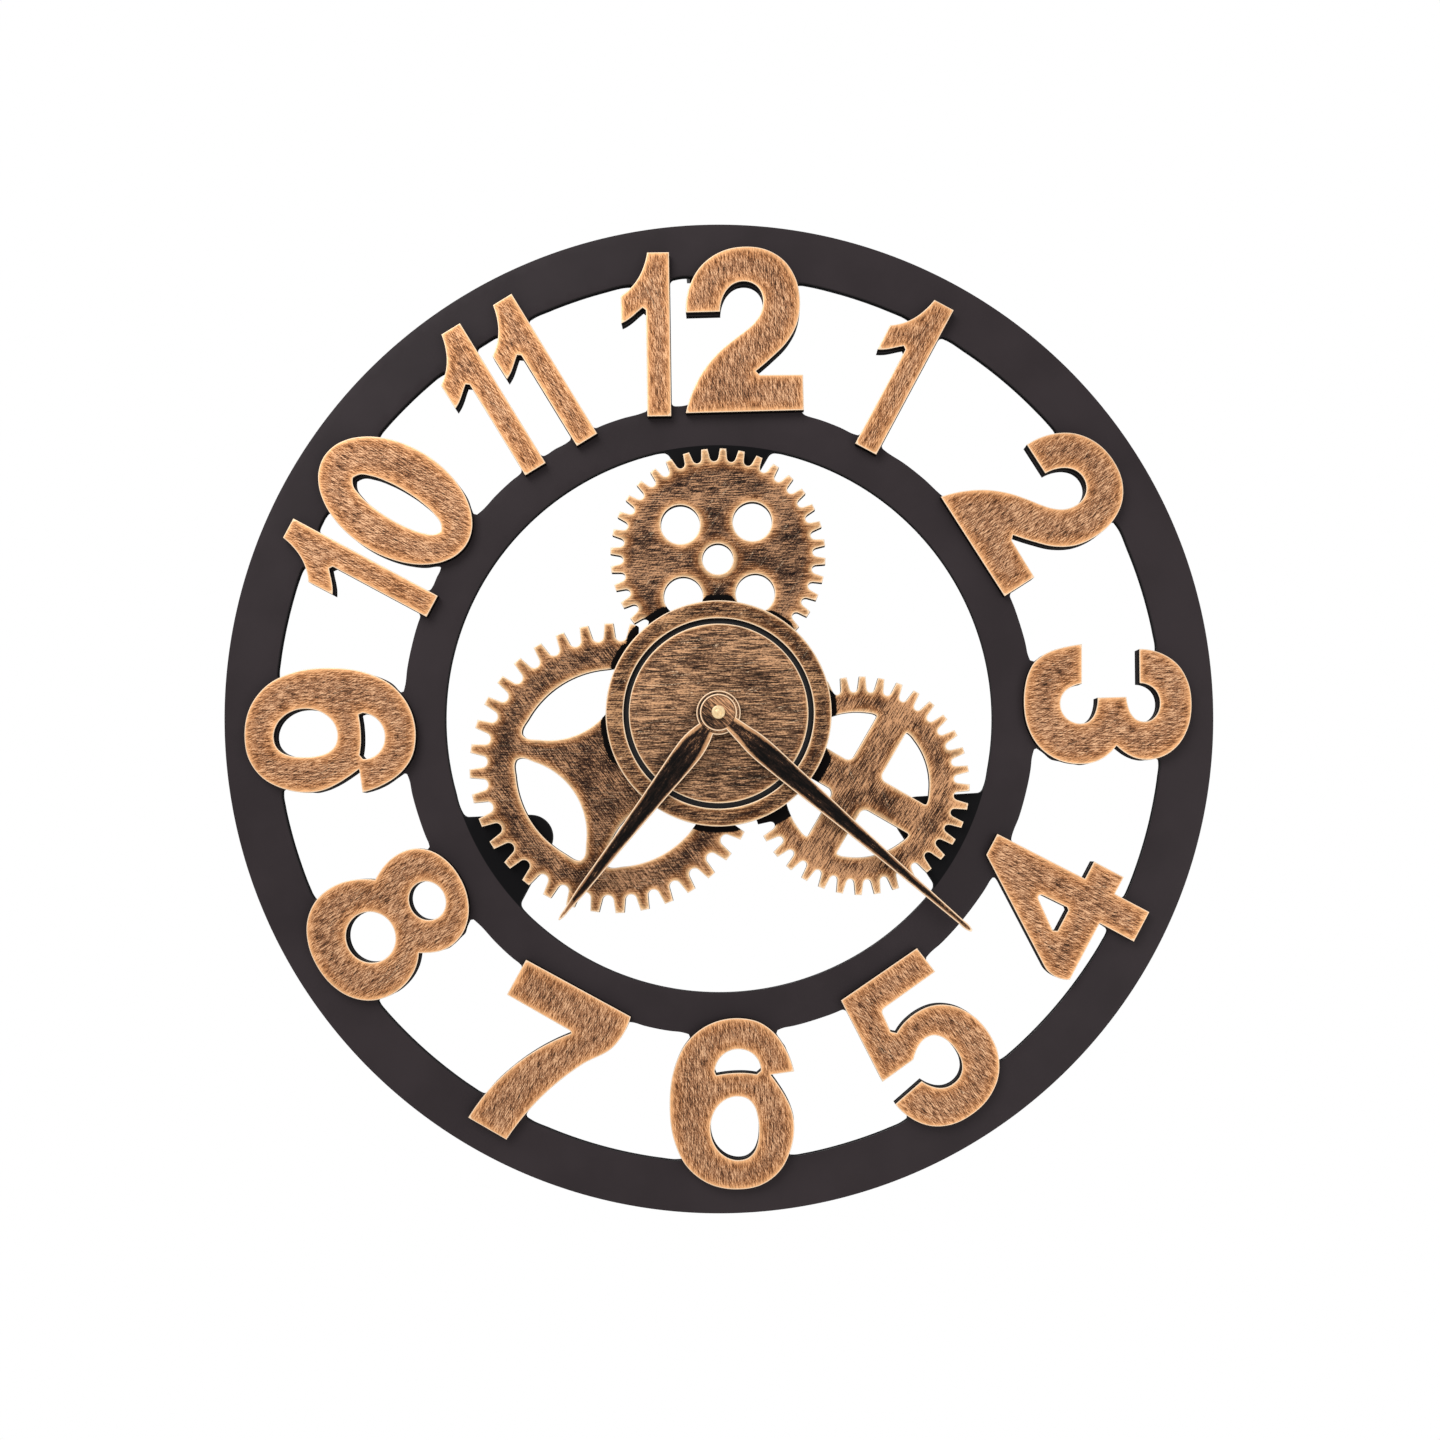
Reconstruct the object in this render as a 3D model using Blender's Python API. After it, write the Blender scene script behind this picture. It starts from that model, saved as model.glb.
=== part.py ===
"""A wall clock: numbers cut out between two rings, with three gear plates behind its hub.

Lengths are in millimetres and turned into metres where a mesh is made. The dial's own axes are x to the
right, y backwards and z up, with the centre of the rings at (0, 0) and the back of the board at y = 0.
"""

import math

import bmesh
import bpy
from mathutils import Matrix, Vector

MM = 0.001

# Rings and board
OUTER_RADIUS = 300.0
OUTER_RING_WIDTH = 30.7
NUMBER_BAND = 77.7
INNER_RING_WIDTH = 25.5
OUTER_INNER_RADIUS = OUTER_RADIUS - OUTER_RING_WIDTH
INNER_OUTER_RADIUS = OUTER_INNER_RADIUS - NUMBER_BAND
INNER_RADIUS = INNER_OUTER_RADIUS - INNER_RING_WIDTH
BOARD_DEPTH = 6.0
RING_SIDE_COUNT = 96
WEB_FILLET = 3.0
RING_CORNER_REACH = 0.6
WIDEST_ROUNDED = math.radians(164)
LONGEST_ROUNDING = 9.0
ROUNDING_STEPS = 3
TAB_END_RADIUS = 13.5
TAB_REACH = 31.1
TAB_END_PLACE = INNER_RADIUS - TAB_REACH
TAB_FLARE = math.radians(30)
TAB_DIRECTIONS = (90.0, 212.0, 333.4)
TAB_FILLET = 5.0

# Stack of layers, from the board to the cap nut
SEAT = 0.3
WELD = 0.01
DIGIT_DEPTH = 6.0
HUB_LAYER = 3.0

# Numbers
GLYPH_HEIGHT = 100.0
NUMBER_OVERLAP = 10.85
NUMBER_SHIFT_OUT = 2.85
DIGIT_MIDDLE_RADIUS = INNER_OUTER_RADIUS + NUMBER_BAND / 2 + NUMBER_SHIFT_OUT
DIGIT_SCALE = (NUMBER_BAND + 2 * NUMBER_OVERLAP) / GLYPH_HEIGHT
CURVE_STEPS = 4

# Hub
AXIS_Z = 2.4
HUB_RADIUS = 67.7
HUB_RING_WIDTH = 10.7
GROOVE_WIDTH = 3.2
GROOVE_OUTER_RADIUS = HUB_RADIUS - HUB_RING_WIDTH
GROOVE_INNER_RADIUS = GROOVE_OUTER_RADIUS - GROOVE_WIDTH
HUB_SIDE_COUNT = 56

# Hands
HAND_THICKNESS = 1.0
HOUR_BOSS_RADIUS = 13.2
MINUTE_BOSS_RADIUS = 11.0
HOUR_HAND_TURN = 217.6
MINUTE_HAND_TURN = 130.8
HOUR_HAND_GAP = 1.0
HANDS_APART = 1.3
CAP_NUT_RADIUS = 4.0
CAP_NUT_HEIGHT = 2.7

# Movement
CASE_SIDE = 56.0
CASE_DEPTH = 16.0
CASE_WALL = 1.5
GASKET_THICKNESS = 0.6
GASKET_RADIUS = 12.0
BUSHING_RADIUS = 4.0
BUSHING_HOLE_CLEARANCE = 0.3
NUT_ACROSS = 12.0
NUT_HEIGHT = 2.2
WASHER_RADIUS = 6.6
WASHER_THICKNESS = 0.6
HOUR_PIPE_RADIUS = 2.5
MINUTE_SHAFT_RADIUS = 1.4
RUNNING_FIT = 0.06
TRAIN_MODULE = 0.27
MOTION_MODULE = 0.4
BAY_TOP = -9.8
COMPARTMENT_BOTTOM = -8.6
CELL_RADIUS = 7.1
CELL_Z = -18.1

# Wall fixing
WALL_Y = 14.0
HANGER_INSET = 12.0
HANGER_RADIUS = OUTER_RADIUS - HANGER_INSET
HANGER_WIDTH = 40.0
HANGER_BELOW = 17.0
HANGER_ABOVE = 6.0
KEYHOLE_RADIUS = 4.5
KEYHOLE_SLOT_RADIUS = 2.2
KEYHOLE_Z = -10.9
KEYHOLE_SLOT_RISE = 7.4
HANGER_SHEET = 2.0
BUFFER_PLACE = OUTER_RADIUS - OUTER_RING_WIDTH / 2
BUFFER_RADIUS = 6.0
BUFFER_ANGLES = (-30.0, 210.0)

BOARD_FRONT = -BOARD_DEPTH
PLATE_BACK = BOARD_FRONT - SEAT
PLATE_FRONT = PLATE_BACK - DIGIT_DEPTH
HUB_BASE_BACK = PLATE_FRONT - SEAT
HUB_BASE_FRONT = HUB_BASE_BACK - HUB_LAYER
HUB_TOP_BACK = HUB_BASE_FRONT - SEAT
HUB_FRONT = HUB_TOP_BACK - HUB_LAYER
CASE_FRONT = PLATE_BACK + SEAT + GASKET_THICKNESS + SEAT
CASE_BACK = CASE_FRONT + CASE_DEPTH
WASHER_BACK = HUB_FRONT - SEAT
NUT_BACK = WASHER_BACK - WASHER_THICKNESS - SEAT
NUT_FRONT = NUT_BACK - NUT_HEIGHT
BUSHING_FRONT = NUT_FRONT - SEAT
HOUR_HAND_BACK = BUSHING_FRONT - HOUR_HAND_GAP
HOUR_HAND_FRONT = HOUR_HAND_BACK - HAND_THICKNESS
MINUTE_HAND_BACK = HOUR_HAND_FRONT - HANDS_APART
MINUTE_HAND_FRONT = MINUTE_HAND_BACK - HAND_THICKNESS
CAP_NUT_BACK = MINUTE_HAND_FRONT - SEAT
CAP_NUT_FRONT = CAP_NUT_BACK - CAP_NUT_HEIGHT

# Number outlines, in millimetres: two values are a corner, six are a curve's two handles and its end.
ONE = [
    [(0, 0), (14.5, 0), (14.5, 99.4), (1.2, 99.4), (-1, 87.5, -6, 79, -15.2, 73.2), (-15, 56.6),
     (-9.5, 58.8, -6, 63, -2, 66), (0, 64.5)],
]
TWO = [
    [(0, 0), (71.7, 0), (71.7, 21.5), (45.5, 22), (43.2, 24.4), (57, 36, 71, 44, 71, 66),
     (71, 87, 58, 100, 38.6, 100), (16, 100, 1.6, 84, 1.6, 61), (22.4, 61), (22.8, 71.5, 29, 79, 36.5, 79),
     (44, 79, 48.6, 74, 48.6, 66.5), (48.6, 56, 39, 50, 31.2, 44.6), (15, 33.5, 5, 20, 0, 0)],
]
THREE = [
    [(3, 70.3), (3.5, 90, 16, 102, 37, 102), (57, 102, 70.2, 90, 70.2, 74.5), (70.2, 67, 66, 61, 61.6, 56.5),
     (69, 51, 72.8, 44, 72.8, 35), (72.8, 13, 57, 0.3, 35, 0.3), (22, 0.3, 11, 4, 7, 11.5),
     (3, 17, 1, 28, 0, 35.5), (24, 35.5), (25.5, 27, 30, 22.5, 36, 22.5), (43, 22.5, 48.2, 28, 48.2, 35),
     (48.2, 41.5, 42, 45, 32.5, 45), (32, 62.5), (40, 63.5, 47, 66, 47, 73.5), (47, 79, 42, 82.8, 36, 82.8),
     (29, 82.8, 24, 78, 23.7, 70.5)],
]
FOUR = [
    [(0, 0), (20.3, 0), (20.3, 23.6), (31.8, 23.6), (31.8, 44), (20, 44), (19.3, 103.7), (4.8, 103.7),
     (-38.5, 41), (-38.5, 23.5), (0.2, 23.5)],
    [(-15.8, 44), (-1.8, 44), (-0.4, 45.5), (-0.9, 61.8), (-1.9, 63.8), (-4, 63.2), (-16.9, 46.6)],
]
FIVE = [
    [(8.5, 102), (64.5, 102), (65.5, 84), (27.5, 83.3), (24.9, 81.2), (22.7, 69.3), (25.2, 66.6),
     (30, 69, 35, 70.1, 41.5, 70.1), (59, 70.1, 71.3, 56, 71.3, 35.5), (71.3, 14, 56, 0, 34, 0),
     (14, 0, 2, 12, 0, 31.5), (21.2, 34), (24, 26.5, 29, 21.8, 35.5, 21.8), (44, 21.8, 49, 28, 49, 37),
     (49, 47, 45, 54, 38.3, 54), (31.5, 54, 28, 50, 23.7, 47.5), (1.3, 47)],
]
SIX = [
    [(75.7, 71.5), (71, 90, 60, 103.8, 43, 103.8), (15, 103.8, 0.2, 84, 0.2, 51), (0.2, 20, 14, 0, 41.5, 0),
     (63, 0, 75.7, 15, 75.7, 40), (75.7, 50, 68, 61, 61.5, 69.5)],
    [(27.5, 71.5), (28.5, 80, 35, 85, 42, 85), (50, 85, 55.5, 79, 55.5, 72), (53, 69.8),
     (46, 71.3, 36, 70.8, 28.5, 69.2)],
    [(41.5, 56.3), (32, 56.3, 25, 47.5, 25, 37), (25, 26, 33, 17.7, 42, 17.7), (50, 17.7, 54.3, 24, 54.3, 35),
     (54.3, 48, 51, 56.3, 41.5, 56.3)],
]
SEVEN = [
    [(0, 100.5), (72.3, 102.3), (72.3, 81), (56, 57, 46, 30, 44.3, 0), (17.5, 0), (18, 28, 29, 55, 46, 75.5),
     (44, 76.5), (0.5, 76.3)],
]
EIGHT = [
    [(9.6, 56.8), (5, 64, 3, 70, 3, 77), (3, 92, 16, 102, 34, 102), (53, 102, 67.5, 90, 67.5, 74.5),
     (67.5, 68, 64, 62, 61.4, 57.5), (70, 52, 75, 42, 75, 31.5), (75, 12, 58, 0, 38, 0),
     (16, 0, 0.3, 12, 0.3, 31.5), (0.3, 41, 4, 49, 9.6, 56.8)],
]
EIGHT_COUNTERS = ((36.5, 77.8, 12, 10.8), (38.5, 37, 15.6, 14.8))
ZERO_SIZE = (33.5, 50.8)
ZERO_COUNTER = (-1.5, -2.1, 9.5, 31.2)

# Each digit plate: node, glyph, hour, place of its origin across and up, and its turn in degrees
DIGITS = (
    ("digit_1", "1", 1, -11.7, -49.0, 1.8),
    ("digit_2", "2", 2, -49.0, -51.0, 2.7),
    ("digit_3", "3", 3, -45.0, -50.0, 0.0),
    ("digit_4", "4", 4, 8.5, -51.0, 2.2),
    ("digit_5", "5", 5, -21.9, -52.9, 4.5),
    ("digit_6", "6", 6, -30.0, -51.0, 0.0),
    ("digit_7", "7", 7, -28.0, -51.0, 0.0),
    ("digit_8", "8", 8, -29.0, -51.5, 0.0),
    ("digit_9", "6", 9, 30.7, 52.9, 180.0),
    ("digit_10_one", "1", 10, -35.4, -50.5, 1.8),
    ("digit_10_zero", "0", 10, 16.2, 1.2, -1.2),
    ("digit_11_left", "1", 11, -28.0, -48.5, 1.5),
    ("digit_11_right", "1", 11, 8.0, -48.7, 1.5),
    ("digit_12_one", "1", 12, -43.3, -51.7, 0.8),
    ("digit_12_two", "2", 12, -20.0, -49.7, 1.5),
)
HOURS_READ_OUTWARD = (9, 10, 11, 12, 1, 2, 3)

# Gear plates: direction of the centre, where the teeth start and end along it (from the rings' centre and
# before the inner ring), drawn tip and root radius, tooth width at tip and base, first tooth's turn
TEETH = 36
TOP_GEAR = dict(direction=90.3, start=32.9, ring_gap=3.4, tip=64.9, root=57.4, widths=(3.9, 5.2), turn=2.75)
LEFT_GEAR = dict(direction=205.57, start=-17.67, ring_gap=8.97, tip=87.4, root=77.0, widths=(5.3, 7.2), turn=7.8)
RIGHT_GEAR = dict(direction=334.52, start=28.7, ring_gap=5.6, tip=65.9, root=56.8, widths=(3.9, 5.4), turn=1.0)
VALLEY_DEPTH = 2.3
TOP_HOLES_OFFSET = (-0.1, -1.8)
TOP_HOLES_TURN = 2.4
TOP_HOLE_RADIUS = 11.8
TOP_HOLE_PLACE = 30.7
TOP_CENTRE_HOLE_RADIUS = 9.3
LENS_RIM_RADIUS = 59.6
LENS_HALF_ANGLE = 38.0
LENS_TURNS = (57.5, 147.5, 237.5, 327.5)
LENS_BACK_RADIUS = 45.55
LENS_BACK_PLACE = 73.95
LENS_CORNER = 1.5
SPOKE_HALF_WIDTH = 10.1
SPOKE_WINDOW_CENTRE = (-2.2, 0.6)
SPOKE_WINDOW_RADIUS = 43.8
SPOKE_TURN = 60.0

# Screws
SCREW_RADIUS = 1.4
SCREW_CLEARANCE = 0.3
SCREW_HEAD_RADIUS = 3.0
SCREW_HEAD_HEIGHT = 1.9
TAB_SCREW_BITE = 4.0
HUB_SCREW_BITE = 2.4
HUB_SCREW_INSET = 16.0
HUB_SCREW_DIRECTIONS = (90.0, 207.0, 333.5)


def clear_scene():
    """Empties the scene and adds one collection for the parts and one for the cutters."""
    for old in list(bpy.data.objects):
        bpy.data.objects.remove(old)
    found = []
    for name in ("wall_clock", "cutters"):
        collection = bpy.data.collections.new(name)
        bpy.context.scene.collection.children.link(collection)
        found.append(collection)
    return found


PARTS, CUTTERS = clear_scene()
ROOT = bpy.data.objects.new("wall_clock", None)
PARTS.objects.link(ROOT)
ROOT.location = (0, -WALL_Y * MM, -HANGER_RADIUS * MM)


def make_material(name, colour, metallic, roughness):
    material = bpy.data.materials.new(name)
    material.use_nodes = True
    shader = material.node_tree.nodes["Principled BSDF"]
    shader.inputs["Base Color"].default_value = (*colour, 1)
    shader.inputs["Metallic"].default_value = metallic
    shader.inputs["Roughness"].default_value = roughness
    material.diffuse_color = (*colour, 1)
    return material


BLACK = make_material("black_enamel", (0.035, 0.03, 0.03), 0.3, 0.5)
BRONZE = make_material("brushed_bronze", (0.24, 0.12, 0.06), 0.7, 0.45)
HAND_BLACK = make_material("hand_enamel", (0.02, 0.02, 0.022), 0.3, 0.4)
BRASS = make_material("brass", (0.85, 0.65, 0.32), 1.0, 0.25)
STEEL = make_material("steel", (0.55, 0.55, 0.56), 1.0, 0.3)
CASE_PLASTIC = make_material("case_plastic", (0.03, 0.03, 0.032), 0.0, 0.5)
WHEEL_PLASTIC = make_material("wheel_plastic", (0.78, 0.78, 0.74), 0.0, 0.4)
RUBBER = make_material("rubber", (0.02, 0.02, 0.02), 0.0, 0.8)
COPPER_WIRE = make_material("copper_wire", (0.72, 0.3, 0.12), 1.0, 0.35)
CIRCUIT = make_material("circuit_laminate", (0.02, 0.16, 0.07), 0.0, 0.45)
CELL_SLEEVE = make_material("cell_sleeve", (0.12, 0.12, 0.13), 0.4, 0.35)


def polar(radius, degrees, centre=(0.0, 0.0)):
    """A point at degrees counter-clockwise from +x."""
    angle = math.radians(degrees)
    return (centre[0] + radius * math.cos(angle), centre[1] + radius * math.sin(angle))


def circle(radius, count, centre=(0.0, 0.0), start=0.0):
    return [polar(radius, start + 360 * i / count, centre) for i in range(count)]


def arc(radius, first, last, count, centre=(0.0, 0.0)):
    return [polar(radius, first + (last - first) * i / (count - 1), centre) for i in range(count)]


def traced(outline):
    """Turns corners and curves into points."""
    points = []
    for entry in outline:
        if len(entry) == 2:
            points.append(Vector(entry))
            continue
        start = points[-1]
        handle, second, end = Vector(entry[:2]), Vector(entry[2:4]), Vector(entry[4:])
        for i in range(1, CURVE_STEPS + 1):
            t = i / CURVE_STEPS
            points.append(
                start * (1 - t) ** 3
                + handle * 3 * t * (1 - t) ** 2
                + second * 3 * t * t * (1 - t)
                + end * t**3
            )
    if (points[-1] - points[0]).length < 0.01:
        points.pop()
    return [tuple(point) for point in points]


def ellipse(cx, cy, rx, ry, count):
    return [
        (cx + rx * math.cos(2 * math.pi * i / count), cy + ry * math.sin(2 * math.pi * i / count))
        for i in range(count)
    ]


GLYPHS = {
    "0": [ellipse(0, 0, *ZERO_SIZE, 24), ellipse(*ZERO_COUNTER, 16)],
    "1": [traced(loop) for loop in ONE],
    "2": [traced(loop) for loop in TWO],
    "3": [traced(loop) for loop in THREE],
    "4": FOUR,
    "5": [traced(loop) for loop in FIVE],
    "6": [traced(loop) for loop in SIX],
    "7": [traced(loop) for loop in SEVEN],
    "8": [traced(EIGHT[0])] + [ellipse(*hole, 14) for hole in EIGHT_COUNTERS],
}


def placed_digit(glyph, hour, across, up, turn):
    """The outlines of one digit at its hour. From 4 to 8 the digits read towards the centre."""
    angle = math.radians(30 * hour)
    sign = 1 if hour in HOURS_READ_OUTWARD else -1
    outward = Vector((math.sin(angle), math.cos(angle)))
    right = Vector((math.cos(angle), -math.sin(angle))) * sign
    upward = outward * sign
    cos, sin = math.cos(math.radians(turn)), math.sin(math.radians(turn))
    loops = []
    for loop in GLYPHS[glyph]:
        points = []
        for x, y in loop:
            u = (x * cos - y * sin + across) * DIGIT_SCALE
            v = (x * sin + y * cos + up) * DIGIT_SCALE
            points.append(tuple(outward * DIGIT_MIDDLE_RADIUS + right * u + upward * v))
        loops.append(points)
    return loops


def finish(obj, material, parent=ROOT, smooth=False):
    obj.data.materials.clear()
    obj.data.materials.append(material)
    for polygon in obj.data.polygons:
        polygon.use_smooth = smooth
    if smooth:
        obj.data.set_sharp_from_angle(angle=math.radians(35))
    obj.parent = parent
    return obj


def mesh_object(name, mesh, collection=PARTS):
    obj = bpy.data.objects.new(name, mesh)
    collection.objects.link(obj)
    return obj


def plate(name, loops, front, back, collection=PARTS):
    """A flat plate: a filled 2D curve with a thickness, turned to face the front, as a welded mesh."""
    curve = bpy.data.curves.new(name, "CURVE")
    curve.dimensions = "2D"
    curve.fill_mode = "BOTH"
    curve.extrude = (back - front) / 2 * MM
    for loop in loops:
        spline = curve.splines.new("POLY")
        spline.points.add(len(loop) - 1)
        for point, (x, z) in zip(spline.points, loop):
            point.co = (x * MM, z * MM, 0, 1)
        spline.use_cyclic_u = True
    guide = mesh_object(name + "_outline", curve, CUTTERS)
    mesh = bpy.data.meshes.new_from_object(guide.evaluated_get(bpy.context.evaluated_depsgraph_get()))
    bpy.data.objects.remove(guide)
    bpy.data.curves.remove(curve)
    mesh.name = name
    shape = bmesh.new()
    shape.from_mesh(mesh)
    bmesh.ops.remove_doubles(shape, verts=shape.verts, dist=0.00001)
    turn = Matrix.Translation((0, (front + back) / 2 * MM, 0)) @ Matrix.Rotation(math.pi / 2, 4, "X")
    bmesh.ops.transform(shape, matrix=turn, verts=shape.verts)
    bmesh.ops.recalc_face_normals(shape, faces=shape.faces)
    shape.to_mesh(mesh)
    shape.free()
    return mesh_object(name, mesh, collection)


def box(name, low, high, collection=PARTS):
    mesh = bpy.data.meshes.new(name)
    shape = bmesh.new()
    bmesh.ops.create_cube(shape, size=1)
    size = [(b - a) * MM for a, b in zip(low, high)]
    middle = [(a + b) / 2 * MM for a, b in zip(low, high)]
    matrix = Matrix.Translation(middle) @ Matrix.Diagonal((*size, 1))
    bmesh.ops.transform(shape, matrix=matrix, verts=shape.verts)
    shape.to_mesh(mesh)
    shape.free()
    return mesh_object(name, mesh, collection)


def turned(name, profile, x, z, points, collection=PARTS):
    """A round piece about a front-to-back axis at (x, z), from (radius, y) pairs along its outer side."""
    mesh = bpy.data.meshes.new(name)
    shape = bmesh.new()
    corners = [shape.verts.new((radius * MM, y * MM, 0)) for radius, y in profile]
    for first, second in zip(corners, corners[1:]):
        shape.edges.new((first, second))
    bmesh.ops.spin(
        shape, geom=list(shape.verts) + list(shape.edges), cent=(0, 0, 0), axis=(0, 1, 0),
        angle=2 * math.pi, steps=points, use_merge=True, use_duplicate=False,
    )
    bmesh.ops.remove_doubles(shape, verts=shape.verts, dist=0.000001)
    bmesh.ops.recalc_face_normals(shape, faces=shape.faces)
    bmesh.ops.transform(shape, matrix=Matrix.Translation((x * MM, 0, z * MM)), verts=shape.verts)
    shape.to_mesh(mesh)
    shape.free()
    return mesh_object(name, mesh, collection)


def cylinder(name, radius, front, back, x, z, points, collection=PARTS):
    return turned(name, [(0, front), (radius, front), (radius, back), (0, back)], x, z, points, collection)


def combine(obj, others, operation, solver="EXACT"):
    """Applies one Boolean per operand and removes the operands."""
    for other in others:
        modifier = obj.modifiers.new(operation.lower(), "BOOLEAN")
        modifier.operation = operation
        modifier.solver = solver
        modifier.object = other
        graph = bpy.context.evaluated_depsgraph_get()
        mesh = bpy.data.meshes.new_from_object(obj.evaluated_get(graph))
        obj.modifiers.clear()
        obj.data = mesh
        bpy.data.objects.remove(other)
    return tidy(obj)


def tidy(obj, weld=0.00003):
    """Joins faces that lie in one plane and drops points left in straight edges."""
    shape = bmesh.new()
    shape.from_mesh(obj.data)
    bmesh.ops.remove_doubles(shape, verts=shape.verts, dist=weld)
    bmesh.ops.dissolve_limit(
        shape, angle_limit=math.radians(0.2), verts=shape.verts, edges=shape.edges, use_dissolve_boundaries=False
    )
    bmesh.ops.recalc_face_normals(shape, faces=shape.faces)
    shape.to_mesh(obj.data)
    shape.free()
    return obj


def tab_outline(degrees):
    """A tab whose round end points to the centre and whose sides open out to the ring."""
    flare = math.degrees(TAB_FLARE)
    end = arc(TAB_END_RADIUS, 90 + flare, 270 - flare, 9, (TAB_END_PLACE, 0))
    root = (INNER_RADIUS + INNER_OUTER_RADIUS) / 2
    half = (TAB_END_RADIUS + (root - TAB_END_PLACE) * math.sin(TAB_FLARE)) / math.cos(TAB_FLARE)
    local = [*end, (root, -half), (root, half)]
    angle = math.radians(degrees)
    cos, sin = math.cos(angle), math.sin(angle)
    return [(x * cos - y * sin, x * sin + y * cos) for x, y in local]


def face_outlines(obj, y):
    """The closed outlines of a flat piece's face at depth y, with the solid on each outline's left side."""
    shape = bmesh.new()
    shape.from_mesh(obj.data)
    bmesh.ops.remove_doubles(shape, verts=shape.verts, dist=WELD * MM)
    following = {}
    for face in shape.faces:
        if face.normal.y > -0.5 or abs(face.calc_center_median().y - y * MM) > 1e-5:
            continue
        for loop in face.loops:
            wall = loop.link_loop_radial_next.face
            if abs(wall.normal.y) < 0.5:
                start, end = loop.vert.co.xz.to_tuple(), loop.link_loop_next.vert.co.xz.to_tuple()
                if start != end:
                    following.setdefault(start, []).append(end)
    outlines = []
    while following:
        point = next(iter(following))
        outline = []
        while point in following:
            outline.append(point)
            ends = following[point]
            point = ends.pop()
            if not ends:
                del following[outline[-1]]
        if len(outline) > 2:
            outlines.append([Vector(p) / MM for p in outline])
    shape.free()
    return outlines


def walked_back(points, index, step, distance):
    """Goes along an outline from a corner and returns the place there and how many points it passed."""
    place, passed, left = points[index], 0, distance
    while True:
        following = points[(index + step * (passed + 1)) % len(points)]
        length = (following - place).length
        if length > left:
            return place.lerp(following, left / length), passed
        left -= length
        place = following
        passed += 1


def rounded_outline(points):
    """Rounds the inner corners where webs and tabs meet the rings, as the cutter left them."""
    circles = ((OUTER_INNER_RADIUS, WEB_FILLET), (INNER_OUTER_RADIUS, WEB_FILLET), (INNER_RADIUS, TAB_FILLET))
    count = len(points)
    dropped, added = set(), {}
    for i, corner in enumerate(points):
        before, after = points[i - 1] - corner, points[(i + 1) % count] - corner
        opening = before.angle(after)
        solid_bends_in = before.x * after.y - before.y * after.x > 0
        for ring, radius in circles:
            if abs(corner.length - ring) < RING_CORNER_REACH and solid_bends_in and opening < WIDEST_ROUNDED:
                run = min(radius / math.tan(opening / 2), LONGEST_ROUNDING)
                start, passed_back = walked_back(points, i, -1, run)
                end, passed_on = walked_back(points, i, 1, run)
                dropped.update((i - k) % count for k in range(passed_back + 1))
                dropped.update((i + k) % count for k in range(passed_on + 1))
                steps = [k / ROUNDING_STEPS for k in range(ROUNDING_STEPS + 1)]
                added[i] = [start * (1 - t) ** 2 + corner * 2 * t * (1 - t) + end * t**2 for t in steps]
    kept = []
    for i, point in enumerate(points):
        if i in added:
            kept += added[i]
        elif i not in dropped:
            kept.append(point)
    return [tuple(point) for point in kept]


def screw_hole(x, z, front, back):
    return cylinder("screw_hole", SCREW_RADIUS + SCREW_CLEARANCE, front, back, x, z, 8, CUTTERS)


def tab_places():
    return [polar(TAB_END_PLACE, degrees) for degrees in TAB_DIRECTIONS]


def make_board():
    board = plate(
        "frame_board",
        [circle(OUTER_RADIUS, RING_SIDE_COUNT), circle(OUTER_INNER_RADIUS, RING_SIDE_COUNT)],
        BOARD_FRONT, 0,
    )
    inner = plate(
        "inner_ring", [circle(INNER_OUTER_RADIUS, 80), circle(INNER_RADIUS, 72)], BOARD_FRONT, 0, CUTTERS
    )
    tabs = [plate("tab", [tab_outline(degrees)], BOARD_FRONT, 0, CUTTERS) for degrees in TAB_DIRECTIONS]
    webs = [
        plate("web", placed_digit(glyph, hour, across, up, turn), BOARD_FRONT, 0, CUTTERS)
        for _, glyph, hour, across, up, turn in DIGITS
    ]
    combine(board, [inner, *tabs, *webs], "UNION", "MANIFOLD")
    outlines = [rounded_outline(points) for points in face_outlines(board, BOARD_FRONT)]
    bpy.data.objects.remove(board)
    holes = [circle(SCREW_RADIUS + SCREW_CLEARANCE, 8, place) for place in tab_places()]
    board = plate("frame_board", outlines + holes, BOARD_FRONT, 0)
    finish(board, BLACK)


def make_digits():
    for node, glyph, hour, across, up, turn in DIGITS:
        finish(plate(node, placed_digit(glyph, hour, across, up, turn), PLATE_FRONT, PLATE_BACK), BRONZE)


def fitted_gear(direction, start, ring_gap, tip, root, widths, turn):
    """A gear in its drawn proportions, as large as the room between its start and the inner ring."""
    end = INNER_RADIUS - ring_gap
    fitted_tip = (end - start) / 2
    scale = fitted_tip / tip
    centre = polar((end + start) / 2, direction)
    return dict(
        centre=centre, tip=fitted_tip, root=root * scale, widths=(widths[0] * scale, widths[1] * scale),
        turn=turn, scale=scale,
    )


def gear_outline(centre, tip, root, widths, turn, scale):
    """Teeth with straight flanks and round valleys. The turn is clockwise from 12 o'clock."""
    base = root + VALLEY_DEPTH * scale
    half_tip = math.degrees(widths[0] / 2 / tip)
    half_base = math.degrees(widths[1] / 2 / base)
    half_gap = 180 / TEETH - half_base
    points = []
    for i in range(TEETH):
        middle = 90 - turn + 360 * i / TEETH
        points.append(polar(base, middle - half_base, centre))
        points.append(polar(tip, middle - half_tip, centre))
        points.append(polar(tip, middle + half_tip, centre))
        points.append(polar(base, middle + half_base, centre))
        valley = middle + half_base
        points.append(polar(root, valley + 0.6 * half_gap, centre))
        points.append(polar(root, valley + 1.4 * half_gap, centre))
    return points


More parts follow.
